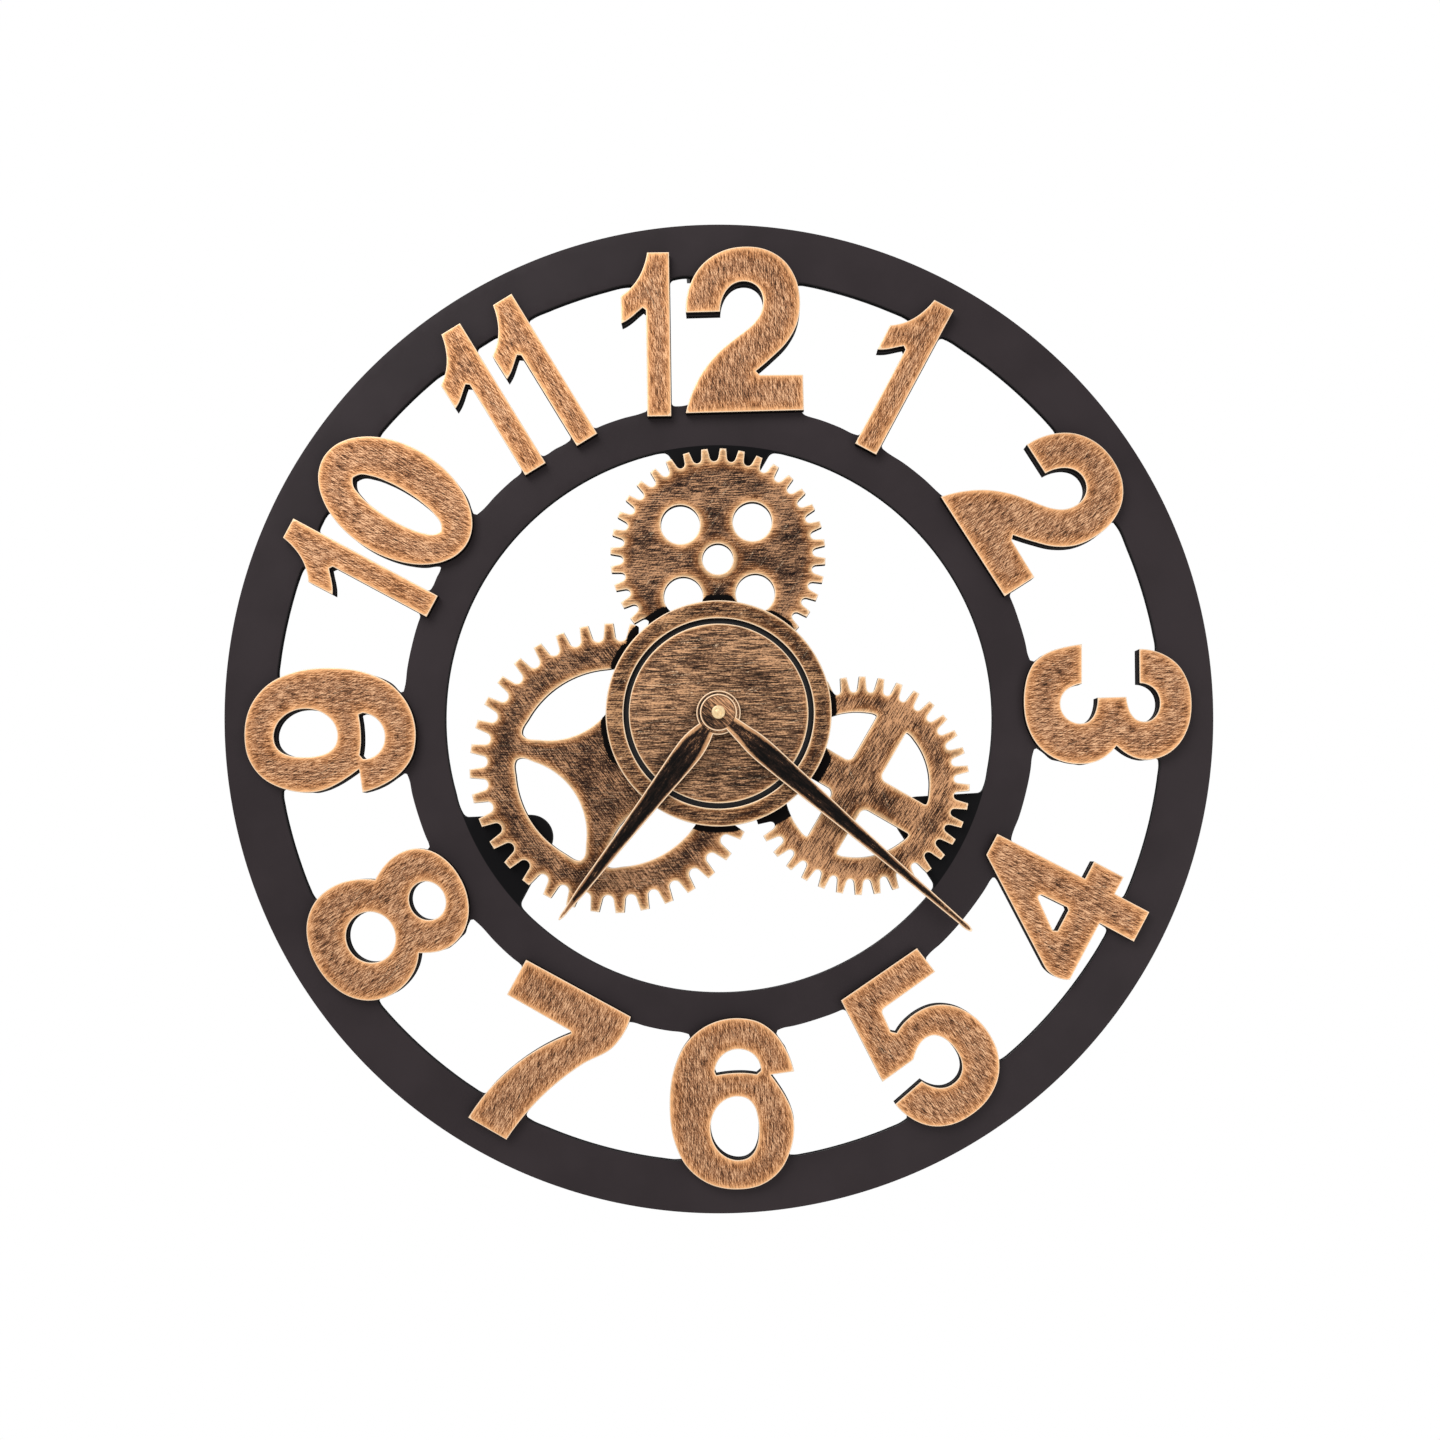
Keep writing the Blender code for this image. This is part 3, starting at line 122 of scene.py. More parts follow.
class Value:
    """A socket of a tree that takes part in sums: each operator adds its Math node."""

    __add__, __radd__ = operator("ADD"), operator("ADD", True)
    __sub__, __rsub__ = operator("SUBTRACT"), operator("SUBTRACT", True)
    __mul__, __rmul__ = operator("MULTIPLY"), operator("MULTIPLY", True)
    least, most = operator("MINIMUM"), operator("MAXIMUM")

    def __init__(self, tree: "NodeTree", socket: bpy.types.NodeSocket) -> None:
        """Keeps the socket and the tree that it stands in."""
        self.tree = tree
        self.socket = socket

    def size(self) -> "Value":
        """The value without its sign."""
        return self.tree.node("Math", {"operation": "ABSOLUTE"}, {0: self})

    def rises(self, low: float, high: float) -> "Value":
        """A soft step.

        Args:
            low: Where the step is 0.
            high: Where it is 1. Below low, the step falls instead.

        Returns:
            The step, from 0 to 1.
        """
        inputs = {"Value": self, "From Min": low, "From Max": high}
        if high < low:
            inputs |= {"From Min": high, "From Max": low, "To Min": 1.0, "To Max": 0.0}
        return self.tree.node("MapRange", {"interpolation_type": "SMOOTHSTEP"}, inputs)


class NodeTree:
    """A node tree under construction."""

    def __init__(self, tree: bpy.types.NodeTree, family: str = "ShaderNode") -> None:
        """Keeps the tree and the family that most of its nodes belong to."""
        self.tree = tree
        self.family = family

    def node(
        self, kind: str, settings: dict | None = None, inputs: dict | None = None, output: int | str = 0
    ) -> Value:
        """Adds a node.

        Args:
            kind: The node's type, without its family.
            settings: Its settings, which are set first.
            inputs: Values or links of its sockets, by name or number; a list links each of its items.
            output: Which of its outputs is wanted.

        Returns:
            That output.
        """
        made = self.tree.nodes.new(("ShaderNode" if kind in SHARED_KINDS else self.family) + kind)
        for name, setting in (settings or {}).items():
            setattr(made, name, setting)
        for key, value in (inputs or {}).items():
            for item in value if isinstance(value, list) else [value]:
                self.feed(made.inputs[key], item)
        return Value(self, made.outputs[output])

    def feed(self, socket: bpy.types.NodeSocket, value: object) -> None:
        """Links a value to a socket, or sets the socket to it.

        Args:
            socket: The socket.
            value: A Value, or what the socket holds.
        """
        if isinstance(value, Value):
            self.tree.links.new(value.socket, socket)
        elif socket.type == "RGBA" and len(value) == 3:
            socket.default_value = (*value, 1.0)
        else:
            socket.default_value = value


class Shader(NodeTree):
    """A material under construction, with its Principled shader."""

    def __init__(self, name: str) -> None:
        """Starts the material.

        Args:
            name: The material's name.
        """
        self.material = bpy.data.materials.new(name)
        self.material.use_nodes = True
        super().__init__(self.material.node_tree)
        self.surface = self.tree.nodes["Principled BSDF"]

    def vectors(self, operation: str, first: Value, second: Triple = FLAT, output: int | str = 0) -> Value:
        """A Vector Math node."""
        return self.node("VectorMath", {"operation": operation}, {0: first, 1: second}, output)

    def place(self, centre: Triple = (0.0, 0.0, 0.0), turn: float = 0.0) -> Value:
        """Object coordinates in millimetres, as (along, depth, across).

        Args:
            centre: The point that becomes the origin, in metres.
            turn: Turn of the along axis from +X towards +Z, in degrees.

        Returns:
            The vector.
        """
        moved = self.vectors("SUBTRACT", self.node("TexCoord", output="Object"), centre)
        inputs = {"Vector": moved, "Rotation": (0, math.radians(turn), 0), "Scale": (1 / MM,) * 3}
        return self.node("Mapping", {"vector_type": "POINT"}, inputs)

    def tag(self, name: str, output: str = "Fac") -> Value:
        """An attribute of the piece's own mesh."""
        return self.node("Attribute", {"attribute_name": name}, output=output)

    def noise(
        self, vector: Value, scale: float | Triple, shift: float = 0.0, detail: float = 2.0,
        roughness: float = 0.5, bend: float = 0.0,
    ) -> Value:
        """Noise of about one cell for each unit of a stretched vector.

        Args:
            vector: The vector.
            scale: What it is stretched by.
            shift: A shift in depth, which gives another draw of the same noise.
            detail: The noise's detail.
            roughness: Its roughness.
            bend: Its distortion.

        Returns:
            The noise.
        """
        scaled = self.vectors("MULTIPLY", vector, scale if isinstance(scale, tuple) else (scale,) * 3)
        shifted = self.vectors("ADD", scaled, (0.0, shift, 0.0))
        inputs = {"Vector": shifted, "Scale": 1.0, "Detail": detail, "Roughness": roughness, "Distortion": bend}
        return self.node("TexNoise", None, inputs)

    def part(self, vector: Value, axis: str) -> Value:
        """One part of a vector."""
        return self.node("SeparateXYZ", None, {0: vector}, axis)

    def radius(self, vector: Value) -> Value:
        """Distance from the Y axis of a vector's space."""
        return self.vectors("LENGTH", self.vectors("MULTIPLY", vector), output="Value")

    def mix(self, factor: Value | float, first: object, second: object) -> Value:
        """A colour between two others."""
        return self.node("Mix", {"data_type": "RGBA"}, {0: factor, 6: first, 7: second}, 2)

    def ramp(self, factor: Value, *colours: Triple) -> Value:
        """A colour ramp.

        Args:
            factor: What picks the colour, 0 to 1.
            colours: The colours, evenly spaced.

        Returns:
            The colour.
        """
        found = self.node("ValToRGB", None, {0: factor})
        stops = found.socket.node.color_ramp.elements
        stops.remove(stops[-1])
        stops[0].color = (*colours[0], 1)
        for number, colour in enumerate(colours[1:], 1):
            stops.new(number / (len(colours) - 1)).color = (*colour, 1)
        return found

    def dress(self, height: Value, depth: float, **sockets: object) -> bpy.types.Material:
        """Feeds the surface.

        Args:
            height: What the bump follows, 0 to 1.
            depth: The bump's height in millimetres.
            sockets: The surface's sockets, with _ for each space of a name.

        Returns:
            The finished material.
        """
        for name, value in sockets.items():
            self.feed(self.surface.inputs[name.replace("_", " ")], value)
        inputs = {"Height": height, "Distance": depth * MM, "Strength": 1.0}
        self.feed(self.surface.inputs["Normal"], self.node("Bump", None, inputs))
        return self.material


class Follow(Enum):
    """Where a brushed finish reads its strokes and its distance from the edge."""

    PLATE = "the tags of a drawn plate"
    HUB_RING = "round the hub's outer ring"
    HUB_DISC = "round the hub's inner disc"


@dataclass(frozen=True)
class BrushedBronze:
    """Dark enamel that was brushed over with copper and rubbed bright along the edges."""

    name: str
    dark: Triple
    middle: Triple
    light: Triple
    edge: Triple = shade(248, 200, 148)
    faint_edge: float = 0.66
    # Colour of the walls; also the black of the painted shade round the hub.
    wall: Triple = shade(16, 13, 13)
    scratched: Triple = shade(232, 204, 170)
    bare: Triple = shade(255, 230, 200)
    warm: tuple[Triple, ...] = (shade(112, 68, 40), shade(200, 134, 82), shade(250, 188, 132))
    follow: Follow = Follow.PLATE
    crossing: float = 52.0
    stroke_length: float = 9.0
    stroke_width: float = 0.6
    cross_share: float = 0.2
    grit_share: float = 2.2
    patch_share: float = 0.5
    edge_width: float = 2.6
    edge_share: float = 0.85
    halo_width: float = 8.0
    halo_share: float = 0.5
    tone: float = 0.5
    contrast: float = 1.0
    scratch_share: float = 0.5
    scratch_bend: float = 0.0
    hub_shadow: bool = False
    metallic: float = 0.45
    gloss: float = 0.05

    def _rim_and_grain(self, shader: Shader) -> tuple[Value, Value]:
        """Finds the distance from the edge, and the (along, depth, across) of the strokes.

        Args:
            shader: The material.

        Returns:
            The distance and the vector.
        """
        if self.follow is Follow.PLATE:
            return shader.tag(TAG_RIM), shader.tag(TAG_GRAIN, "Vector")
        axis = shader.place(AXIS)
        radius = shader.radius(axis)
        sizes = HUB.ring if self.follow is Follow.HUB_RING else HUB.disc
        flat = (sizes.outer - radius).least(radius - sizes.inner)
        on_front = shader.part(axis, "Y").rises(sizes.front + 0.25, sizes.front + 0.2)
        return flat * on_front - (1 - on_front), axis

    @staticmethod
    def _painted_hub_shade(shader: Shader, grit: Value) -> Value:
        """Finds where black painted shade of the hub reaches out over the gears, in flat crescents.

        Args:
            shader: The material.
            grit: The noise that makes the line ragged.

        Returns:
            The cover, from 0 to 1.
        """
        centre = shader.place(AXIS)
        away = shader.vectors("NORMALIZE", shader.vectors("MULTIPLY", centre))
        reach = None
        for angle, half_width, depth in HUB_SHADE_CRESCENTS:
            turn = math.radians(angle)
            near = shader.vectors("DOT_PRODUCT", away, (math.cos(turn), 0.0, math.sin(turn)), "Value")
            start, full = (math.cos(math.radians(half_width * share)) for share in (1.25, 0.5))
            bulge = near.rises(start, full) * depth
            reach = bulge if reach is None else reach.most(bulge)
        ragged = shader.radius(centre) - reach + (grit - 0.5) * 2.0
        return ragged.rises(HUB_RADIUS + 0.4, HUB_RADIUS - 0.2)

    def make(self) -> bpy.types.Material:
        """Builds the material.

        Returns:
            The material.
        """
        shader = Shader(self.name)
        rim, grain = self._rim_and_grain(shader)
        along, across = 1 / self.stroke_length, 1 / self.stroke_width
        strokes = shader.noise(grain, (along, 0.1, across), 0.0, 3.0, 0.62)
        turned = shader.node("Mapping", None, {"Vector": grain, "Rotation": (0, math.radians(self.crossing), 0)})
        crossed = shader.noise(turned, (along * 1.3, 0.1, across * 0.9), 7.0, 2.0, 0.6)
        patches = shader.noise(grain, (0.028, 0.1, 0.05), 13.0, 3.0, 0.55)
        grit = shader.noise(grain, (0.85, 0.1, 1.5), 21.0, 2.0, 0.7)
        share = self.cross_share
        brushed = (strokes - 0.5) * (1 - share) + (crossed - 0.5) * share
        tone = (
            brushed * (5.6 * self.contrast)
            + (patches - 0.5) * (self.patch_share * 1.3)
            + (grit - 0.5) * (self.grit_share * self.contrast)
            + self.tone
        )
        colour = shader.ramp(tone, self.dark, self.middle, self.light)
        line = shader.noise(turned, (0.02, 0.1, 0.42), 31.0, 1.0, 0.4, self.scratch_bend)
        scratch = (line - 0.5).size().rises(0.008, 0.0) * grit.rises(0.42, 0.6)
        colour = shader.mix(scratch * self.scratch_share, colour, self.scratched)
        halo = (rim + (patches - 0.5) * 12.0 + brushed * 5.0).rises(self.halo_width, 1.0) * self.halo_share
        colour = shader.mix(halo, colour, shader.ramp(tone, *self.warm))
        ragged = rim + (grit - 0.5) * 2.4 + (strokes - 0.5) * 1.6 + (patches - 0.5) * 4.0
        rubbed = ragged.rises(self.edge_width, 0.2) * self.edge_share
        faint = tuple(part * self.faint_edge for part in self.edge)
        colour = shader.mix(rubbed, colour, shader.mix(tone.rises(-0.1, 0.8), faint, self.edge))
        colour = shader.mix(rim.rises(0.75, 0.3) * 0.85, colour, self.bare)
        cover = rim.rises(-0.1, -0.42)
        # Painted shade: black crescents on the gears beside the hub's edge, in the wall colour.
        if self.hub_shadow:
            cover = cover.most(self._painted_hub_shade(shader, grit))
        colour = shader.mix(cover, colour, self.wall)
        rough = (0.5 - (strokes - 0.5) * 0.35).most(cover * MATT)
        metal = (1 - cover) * self.metallic
        sockets = {"Base_Color": colour, "Roughness": rough, "Metallic": metal, "Specular_IOR_Level": self.gloss}
        return shader.dress(strokes + crossed * 0.5, 0.05, **sockets)


@dataclass(frozen=True)
class Enamel:
    """Sprayed enamel with a fine powder grain; the board's tabs are darkened as painted shade under the gears, and
    its walls are darker too.
    """

    name: str
    colour: Triple
    edge: Triple
    grain: float = 0.5
    roughness: float = 0.42
    gloss: float = 0.3
    # Painted shade under the gears: the dark colour of the board's tabs, also used on its walls.
    tabs: Triple = shade(12, 11, 13)
    tagged: bool = False

    def make(self) -> bpy.types.Material:
        """Builds the material.

        Returns:
            The material.
        """
        shader = Shader(self.name)
        place = shader.place()
        fine = shader.noise(place, 1 / self.grain, 0.0, 3.0, 0.6)
        broad = shader.noise(place, 0.02, 5.0, 3.0)
        dust = shader.noise(place, 0.6, 9.0).rises(0.7, 0.78)
        colour = shader.mix(broad.rises(0.3, 0.7), self.colour, tuple(part * 1.22 for part in self.colour))
        colour = shader.mix(dust * 0.1, colour, self.edge)
        rough = self.roughness + (fine - 0.5) * 0.22 + (broad - 0.5) * 0.12
        if self.tagged:
            rim = shader.tag(TAG_RIM)
            rings = shader.radius(shader.place((0.0, 0.0, CENTRE_HEIGHT)))
            # Painted shade: the tabs inside the rings' hole are darkened where the gears lie over them.
            colour = shader.mix(rings.rises(RINGS_HOLE + 0.1, RINGS_HOLE - 0.2), colour, self.tabs)
            colour = shader.mix(rim.size().rises(0.6, 0.1) * (0.2 + broad * 0.4), colour, self.edge)
            walls = rim.rises(-0.6, -1.0)
            colour = shader.mix(walls, colour, self.tabs)
            rough = rough.most(walls * MATT)
        sockets = {"Base_Color": colour, "Roughness": rough, "Metallic": 0.0, "Specular_IOR_Level": self.gloss}
        return shader.dress(fine, 0.03, **sockets)


@dataclass(frozen=True)
class HandFinish:
    """Black enamel of the hands, with copper rubbed through along the edges and round the boss."""

    name: str
    turn: float
    boss: float
    edge_width: float = 1.7
    metallic: float = 0.4
    gloss: float = 0.1
    wall: Triple = shade(14, 11, 10)
    bare: Triple = shade(255, 226, 192)
    in_groove: Triple = shade(50, 34, 28)
    enamel: tuple[Triple, ...] = (shade(12, 10, 9), shade(44, 31, 25), shade(176, 128, 92))
    copper: tuple[Triple, Triple] = (shade(150, 102, 70), shade(236, 182, 132))
    face: tuple[Triple, ...] = (shade(30, 24, 22), shade(122, 88, 64), shade(224, 168, 124))

    def make(self) -> bpy.types.Material:
        """Builds the material.

        Returns:
            The material.
        """
        shader = Shader(self.name)
        rim = shader.tag(TAG_RIM)
        place = shader.place(AXIS, self.turn)
        radius = shader.radius(place)
        strokes = shader.noise(place, (1 / 7.0, 0.1, 1 / 0.8), 0.0, 3.0, 0.6)
        broad = shader.noise(place, (0.07, 0.1, 0.3), 4.0)
        grit = shader.noise(place, (0.8, 0.1, 1.3), 9.0, 2.0, 0.7)
        near_boss = radius.rises(46.0, 12.0) * 0.3
        tone = (strokes - 0.5) * 1.4 + (broad - 0.5) * 1.5 + (grit - 0.5) * 1.2 + near_boss + 0.1
        colour = shader.ramp(tone, *self.enamel)
        ragged = rim + (strokes - 0.5) * 2.0 + (broad - 0.5) * 2.4 + (grit - 0.5) * 2.0 - near_boss * 4.0
        rubbed = ragged.rises(self.edge_width, 0.5) * 0.9
        colour = shader.mix(rubbed, colour, shader.mix(tone.rises(-0.4, 0.7), *self.copper))
        brushed = (strokes - 0.5) * 3.2 + (grit - 0.5) * 0.8 + shader.part(place, "Z") * 0.045 + 0.45
        face = shader.ramp(brushed, *self.face)
        colour = shader.mix(radius.rises(self.boss - 1.0, self.boss - 1.3), colour, face)
        groove = (radius - (self.boss - 1.1)).size().rises(0.4, 0.15)
        colour = shader.mix(groove * 0.8, colour, self.in_groove)
        colour = shader.mix(rim.rises(0.85, 0.35) * 0.9, colour, self.bare)
        cover = rim.rises(-0.05, -0.3)
        colour = shader.mix(cover, colour, self.wall)
        rough = (0.45 - (strokes - 0.5) * 0.3).most(cover * MATT)
        metal = (1 - cover) * self.metallic
        sockets = {"Base_Color": colour, "Roughness": rough, "Metallic": metal, "Specular_IOR_Level": self.gloss}
        return shader.dress(strokes * 0.3 - groove, 0.12, **sockets)


@dataclass(frozen=True)
class TurnedMetal:
    """Plain metal with fine turning or drawing marks."""

    name: str
    colour: Triple
    dull: Triple
    roughness: float = 0.3
    metallic: float = 0.9

    def make(self) -> bpy.types.Material:
        """Builds the material.

        Returns:
            The material.
        """
        shader = Shader(self.name)
        place = shader.place(AXIS)
        turns = {"W": shader.radius(place) * 6.0, "Scale": 1.0}
        rings = shader.node("TexNoise", {"noise_dimensions": "1D"}, turns)
        spots = shader.noise(place, 0.5, 0.0, 3.0)
        colour = shader.mix((rings * 0.5 + spots * 0.5).rises(0.3, 0.7), self.colour, self.dull)
        rough = self.roughness + (spots - 0.5) * 0.2
        return shader.dress(rings, 0.01, Base_Color=colour, Roughness=rough, Metallic=self.metallic)


@dataclass(frozen=True)
class Moulding:
    """Moulded plastic or rubber with a fine spark grain."""

    name: str
    colour: Triple
    roughness: float = 0.5
    grain: float = 0.45
    depth: float = 0.03

    def make(self) -> bpy.types.Material:
        """Builds the material.

        Returns:
            The material.
        """
        shader = Shader(self.name)
        place = shader.place()
        fine = shader.noise(place, 1 / self.grain, 0.0, 2.0, 0.6)
        broad = shader.noise(place, 0.08, 2.0)
        lighter = tuple(min(1.0, part * 1.25 + 0.004) for part in self.colour)
        colour = shader.mix(broad.rises(0.3, 0.7), self.colour, lighter)
        rough = self.roughness + (fine - 0.5) * 0.25 + (broad - 0.5) * 0.15
        return shader.dress(fine, self.depth, Base_Color=colour, Roughness=rough, Metallic=0.0)


@dataclass(frozen=True)
class Laminate:
    """Green circuit laminate with its woven glass showing faintly."""

    name: str = "laminate_green"
    pale: Triple = shade(26, 96, 60)
    deep: Triple = shade(16, 74, 44)
    threads: float = 2.2

    def make(self) -> bpy.types.Material:
        """Builds the material.

        Returns:
            The material.
        """
        shader = Shader(self.name)
        cloth = {"Vector": shader.place(), "Scale": self.threads, "Mortar Size": 0.03}
        weave = shader.node("TexBrick", None, cloth, "Fac")
        colour = shader.mix(weave, self.deep, self.pale)
        return shader.dress(weave, 0.01, Base_Color=colour, Roughness=0.4 + weave * 0.1)


@dataclass(frozen=True)
class WoundWire:
    """Enamelled copper wire, wound turn by turn along a bobbin, with painted highlights on the crests of the turns
    and painted shade between them.
    """

    name: str = "wound_wire"
    pitch: float = 0.14
    # Painted shade between the turns, then painted highlight on their crests.
    between: Triple = shade(112, 52, 26)
    crest: Triple = shade(214, 124, 72)

    def make(self) -> bpy.types.Material:
        """Builds the material.

        Returns:
            The material.
        """
        shader = Shader(self.name)
        along = shader.part(shader.place(), "X") * (2 * math.pi / self.pitch)
        turns = shader.node("Math", {"operation": "SINE"}, {0: along}) * 0.5 + 0.5
        # Painted light: the crests of the turns lighter and the gaps between them darker.
        colour = shader.mix(turns, self.between, self.crest)
        return shader.dress(turns, 0.03, Base_Color=colour, Roughness=0.32 + turns * 0.1, Metallic=0.85)


@dataclass(frozen=True)
class Outline:
    """One closed line round a plate, with the solid on its left when seen from the front.

    A side counts as straight from straight_share times its neighbours, or much_longer times the given length,
    and two straight sides meet in a corner from a turn of kink, in radians.
    """

    points: np.ndarray
    straight_share: float = 1.8
    much_longer: float = 3.0
    kink: float = 0.02
    sharpest: float = 0.7

    def corners(self, limit: float) -> np.ndarray:
        """Finds the points that turn by more than a limit.

        Args:
            limit: The limit in degrees.

        Returns:
            True for each such point.
        """
        before = self.points - np.roll(self.points, 1, axis=0)
        after = np.roll(self.points, -1, axis=0) - self.points
        aside = before[:, 0] * after[:, 1] - before[:, 1] * after[:, 0]
        turn = np.arctan2(aside, (before * after).sum(axis=1))
        return np.abs(np.degrees(turn)) > limit

    def smoothed(self, limit: float, spacing: float, longest: float = 9.0) -> "Outline":
        """Draws curves through the points between the corners.

        Args:
            limit: Turn from which a point is a corner, in degrees.
            spacing: Distance between the new points.
            longest: Segments longer than this stay straight where both neighbours are a good deal shorter or
                stand beyond a corner.

        Returns:
            The smooth outline.
        """
        points, count = self.points, len(self.points)
        after = np.roll(points, -1, axis=0) - points
        length = np.linalg.norm(after, axis=1)
        unit = after / length[:, None]
        corner = self.corners(limit)
        last = np.where(corner, 0.0, np.roll(length, 1))
        following = np.where(np.roll(corner, -1), 0.0, np.roll(length, -1))
        alone = length > self.straight_share * np.maximum(last, following)
        straight = (length > longest) & ((length > self.much_longer * longest) | alone)
        tangent = np.zeros_like(points)
        for i in range(count):
            j = i - 1
            if straight[i] and straight[j]:
                corner[i] = corner[i] or abs(float(np.cross(unit[j], unit[i]))) > self.kink
            way = unit[j] * length[i] + unit[i] * length[j]
            way = unit[i] if straight[i] else unit[j] if straight[j] else way
            tangent[i] = way / max(np.linalg.norm(way), 1e-9)
        made = []
        for i in range(count):
            k = (i + 1) % count
            steps = max(1, math.ceil(length[i] / spacing))
            if straight[i] or (corner[i] and corner[k]):
                start = end = unit[i]
            else:
                start, end = tangent[i], tangent[k]
                if corner[i]:
                    start = 2 * unit[i] * float(unit[i] @ end) - end
                if corner[k]:
                    end = 2 * unit[i] * float(unit[i] @ start) - start
            for t in np.arange(steps) / steps:
                first = 2 * t**3 - 3 * t**2 + 1
                last = -2 * t**3 + 3 * t**2
                pull = (t**3 - 2 * t**2 + t) * length[i]
                push = (t**3 - t**2) * length[i]
                made.append(first * points[i] + last * points[k] + pull * start + push * end)
        return Outline(np.array(made))

    def inset(self, distance: float) -> np.ndarray:
        """Moves the points into the solid.

        Args:
            distance: How far, which is small.

        Returns:
            The moved points.
        """
        after = np.roll(self.points, -1, axis=0) - self.points
        unit = after / np.maximum(np.linalg.norm(after, axis=1), 1e-9)[:, None]
        normal = np.stack([-unit[:, 1], unit[:, 0]], axis=1)
        both = normal + np.roll(normal, 1, axis=0)
        size = np.maximum((both**2).sum(axis=1), self.sharpest)
        return self.points + both * (2 * distance / size)[:, None]


def inside(points: np.ndarray, loops: list[np.ndarray], batch: int = 2000) -> np.ndarray:
    """Finds the points that lie inside a set of closed lines, by counting the lines that they cross.

    Args:
        points: The points, one a row.
        loops: The closed lines.
        batch: How many points are looked at together.

    Returns:
        True for each point inside.
    """
    starts = np.concatenate(loops)
    ends = np.concatenate([np.roll(loop, -1, axis=0) for loop in loops])
    found = np.zeros(len(points), bool)
    for first in range(0, len(points), batch):
        part = points[first : first + batch]
        x, z = part[:, :1], part[:, 1:]
        spans = (starts[:, 1] > z) != (ends[:, 1] > z)
        rise = np.where(ends[:, 1] == starts[:, 1], 1e-12, ends[:, 1] - starts[:, 1])
        reach = starts[:, 0] + (z - starts[:, 1]) / rise * (ends[:, 0] - starts[:, 0])
        found[first : first + batch] = (spans & (x < reach)).sum(axis=1) % 2 == 1
    return found


def outlines_of(node: str, flatness: float = 0.02) -> tuple[list[Outline], float, float]:
    """Reads a plate's outlines off the front face of its solid.

    Args:
        node: The solid's name.
        flatness: How far behind the front a point of that face may lie.

    Returns:
        The outlines in millimetres round the hands' axis, and the depths of its front and back.
    """
    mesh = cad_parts[node].data
    places = np.empty(len(mesh.vertices) * 3, np.float32)
    mesh.vertices.foreach_get("co", places)
    places = places.reshape(-1, 3).astype(float) / MM
    _, first, number = np.unique(np.round(places, 2), axis=0, return_index=True, return_inverse=True)
    number = number.reshape(-1)
    kept = places[first]
    front = kept[:, 1].min()
    following = {}
    edges = set()
    for polygon in mesh.polygons:
        corners = [int(number[i]) for i in polygon.vertices]
        if max(kept[i][1] for i in corners) > front + flatness:
            continue
        edges |= set(zip(corners, corners[1:] + corners[:1]))
    for start, end in edges:
        if (end, start) not in edges and start != end:
            following.setdefault(start, end)
    loops = []
    while following:
        start, end = following.popitem()
        chain = [start]
        while end != chain[0] and end in following:
            chain.append(end)
            end = following.pop(end)
        if len(chain) > 2:
            flat = kept[chain][:, [0, 2]] - (0.0, AXIS_HEIGHT / MM)
            loops.append(Outline(flat))
    return loops, front, kept[:, 1].max()


def linked(name: str, data: bpy.types.ID) -> bpy.types.Object:
    """Makes an object of some data and puts it into the scene.

    Args:
        name: The object's name.
        data: Its mesh, light or camera.

    Returns:
        The object.
    """
    made = bpy.data.objects.new(name, data)
    bpy.context.scene.collection.objects.link(made)
    return made


def search_tree(points: np.ndarray) -> kdtree.KDTree:
    """Makes a tree that finds the nearest of some flat points.

    Args:
        points: The points, one a row.

    Returns:
        The tree.
    """
    tree = kdtree.KDTree(len(points))
    for number, (x, z) in enumerate(points):
        tree.insert((x, z, 0.0), number)
    tree.balance()
    return tree


class Maker:
    """Turns lists of points and faces into finished pieces of the scene."""

    @staticmethod
    def mended(mesh: bpy.types.Mesh, merge: float) -> None:
        """Joins near points of a mesh and turns its faces outwards.

        Args:
            mesh: The mesh.
            merge: Distance under which points become one, in metres, or 0.
        """
        work = bmesh.new()
        work.from_mesh(mesh)
        if merge:
            bmesh.ops.remove_doubles(work, verts=work.verts, dist=merge)
        bmesh.ops.recalc_face_normals(work, faces=work.faces)
        work.to_mesh(mesh)
        work.free()

    @staticmethod
    def piece(name: str, points: np.ndarray, faces: list, merge: float = 0.0) -> bpy.types.Object:
        """Makes an object at the origin from points in metres.

        Args:
            name: The piece's name.
            points: The points.
            faces: Numbers of the points of each face.
            merge: Distance under which points become one, in metres.

        Returns:
            The object, with its faces pointing outwards.
        """
        mesh = bpy.data.meshes.new(name)
        mesh.from_pydata([tuple(point) for point in points], [], faces)
        Maker.mended(mesh, merge)
        mesh.validate()
        return linked(name, mesh)

    @staticmethod
    def shaded(piece: bpy.types.Object, angle: float = 32.0) -> bpy.types.Object:
        """Smooths the shading of faces that meet at less than an angle.

        Args:
            piece: The piece.
            angle: The angle in degrees.

        Returns:
            The piece.
        """
        for polygon in piece.data.polygons:
            polygon.use_smooth = True
        piece.data.set_sharp_from_angle(angle=math.radians(angle))
        return piece

    @staticmethod
    def settled(piece: bpy.types.Object, finish: object, slot: str, *replaced: str, body: str = "dial") -> None:
        """Gives a finished piece its material and its body, and hides the solids that it stands for.

        Args:
            piece: The piece.
            finish: Its finish.
            slot: The record's slot; not used.
            replaced: The solids that it stands for.
            body: The body that it rides on.
        """
        piece.data.materials.clear()
        piece.data.materials.append(FINISHES.of(finish))
        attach(piece, body)
        if replaced:
            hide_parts(*replaced)
        LOG.info("%s: %d faces on %s", piece.name, len(piece.data.polygons), body)

    @staticmethod
    def kept(node: str, finish: object) -> None:
        """Gives a solid that stays its material."""
        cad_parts[node].material_slots[0].material = FINISHES.of(finish)
        LOG.info("%s: solid kept, in %s", node, finish.name)


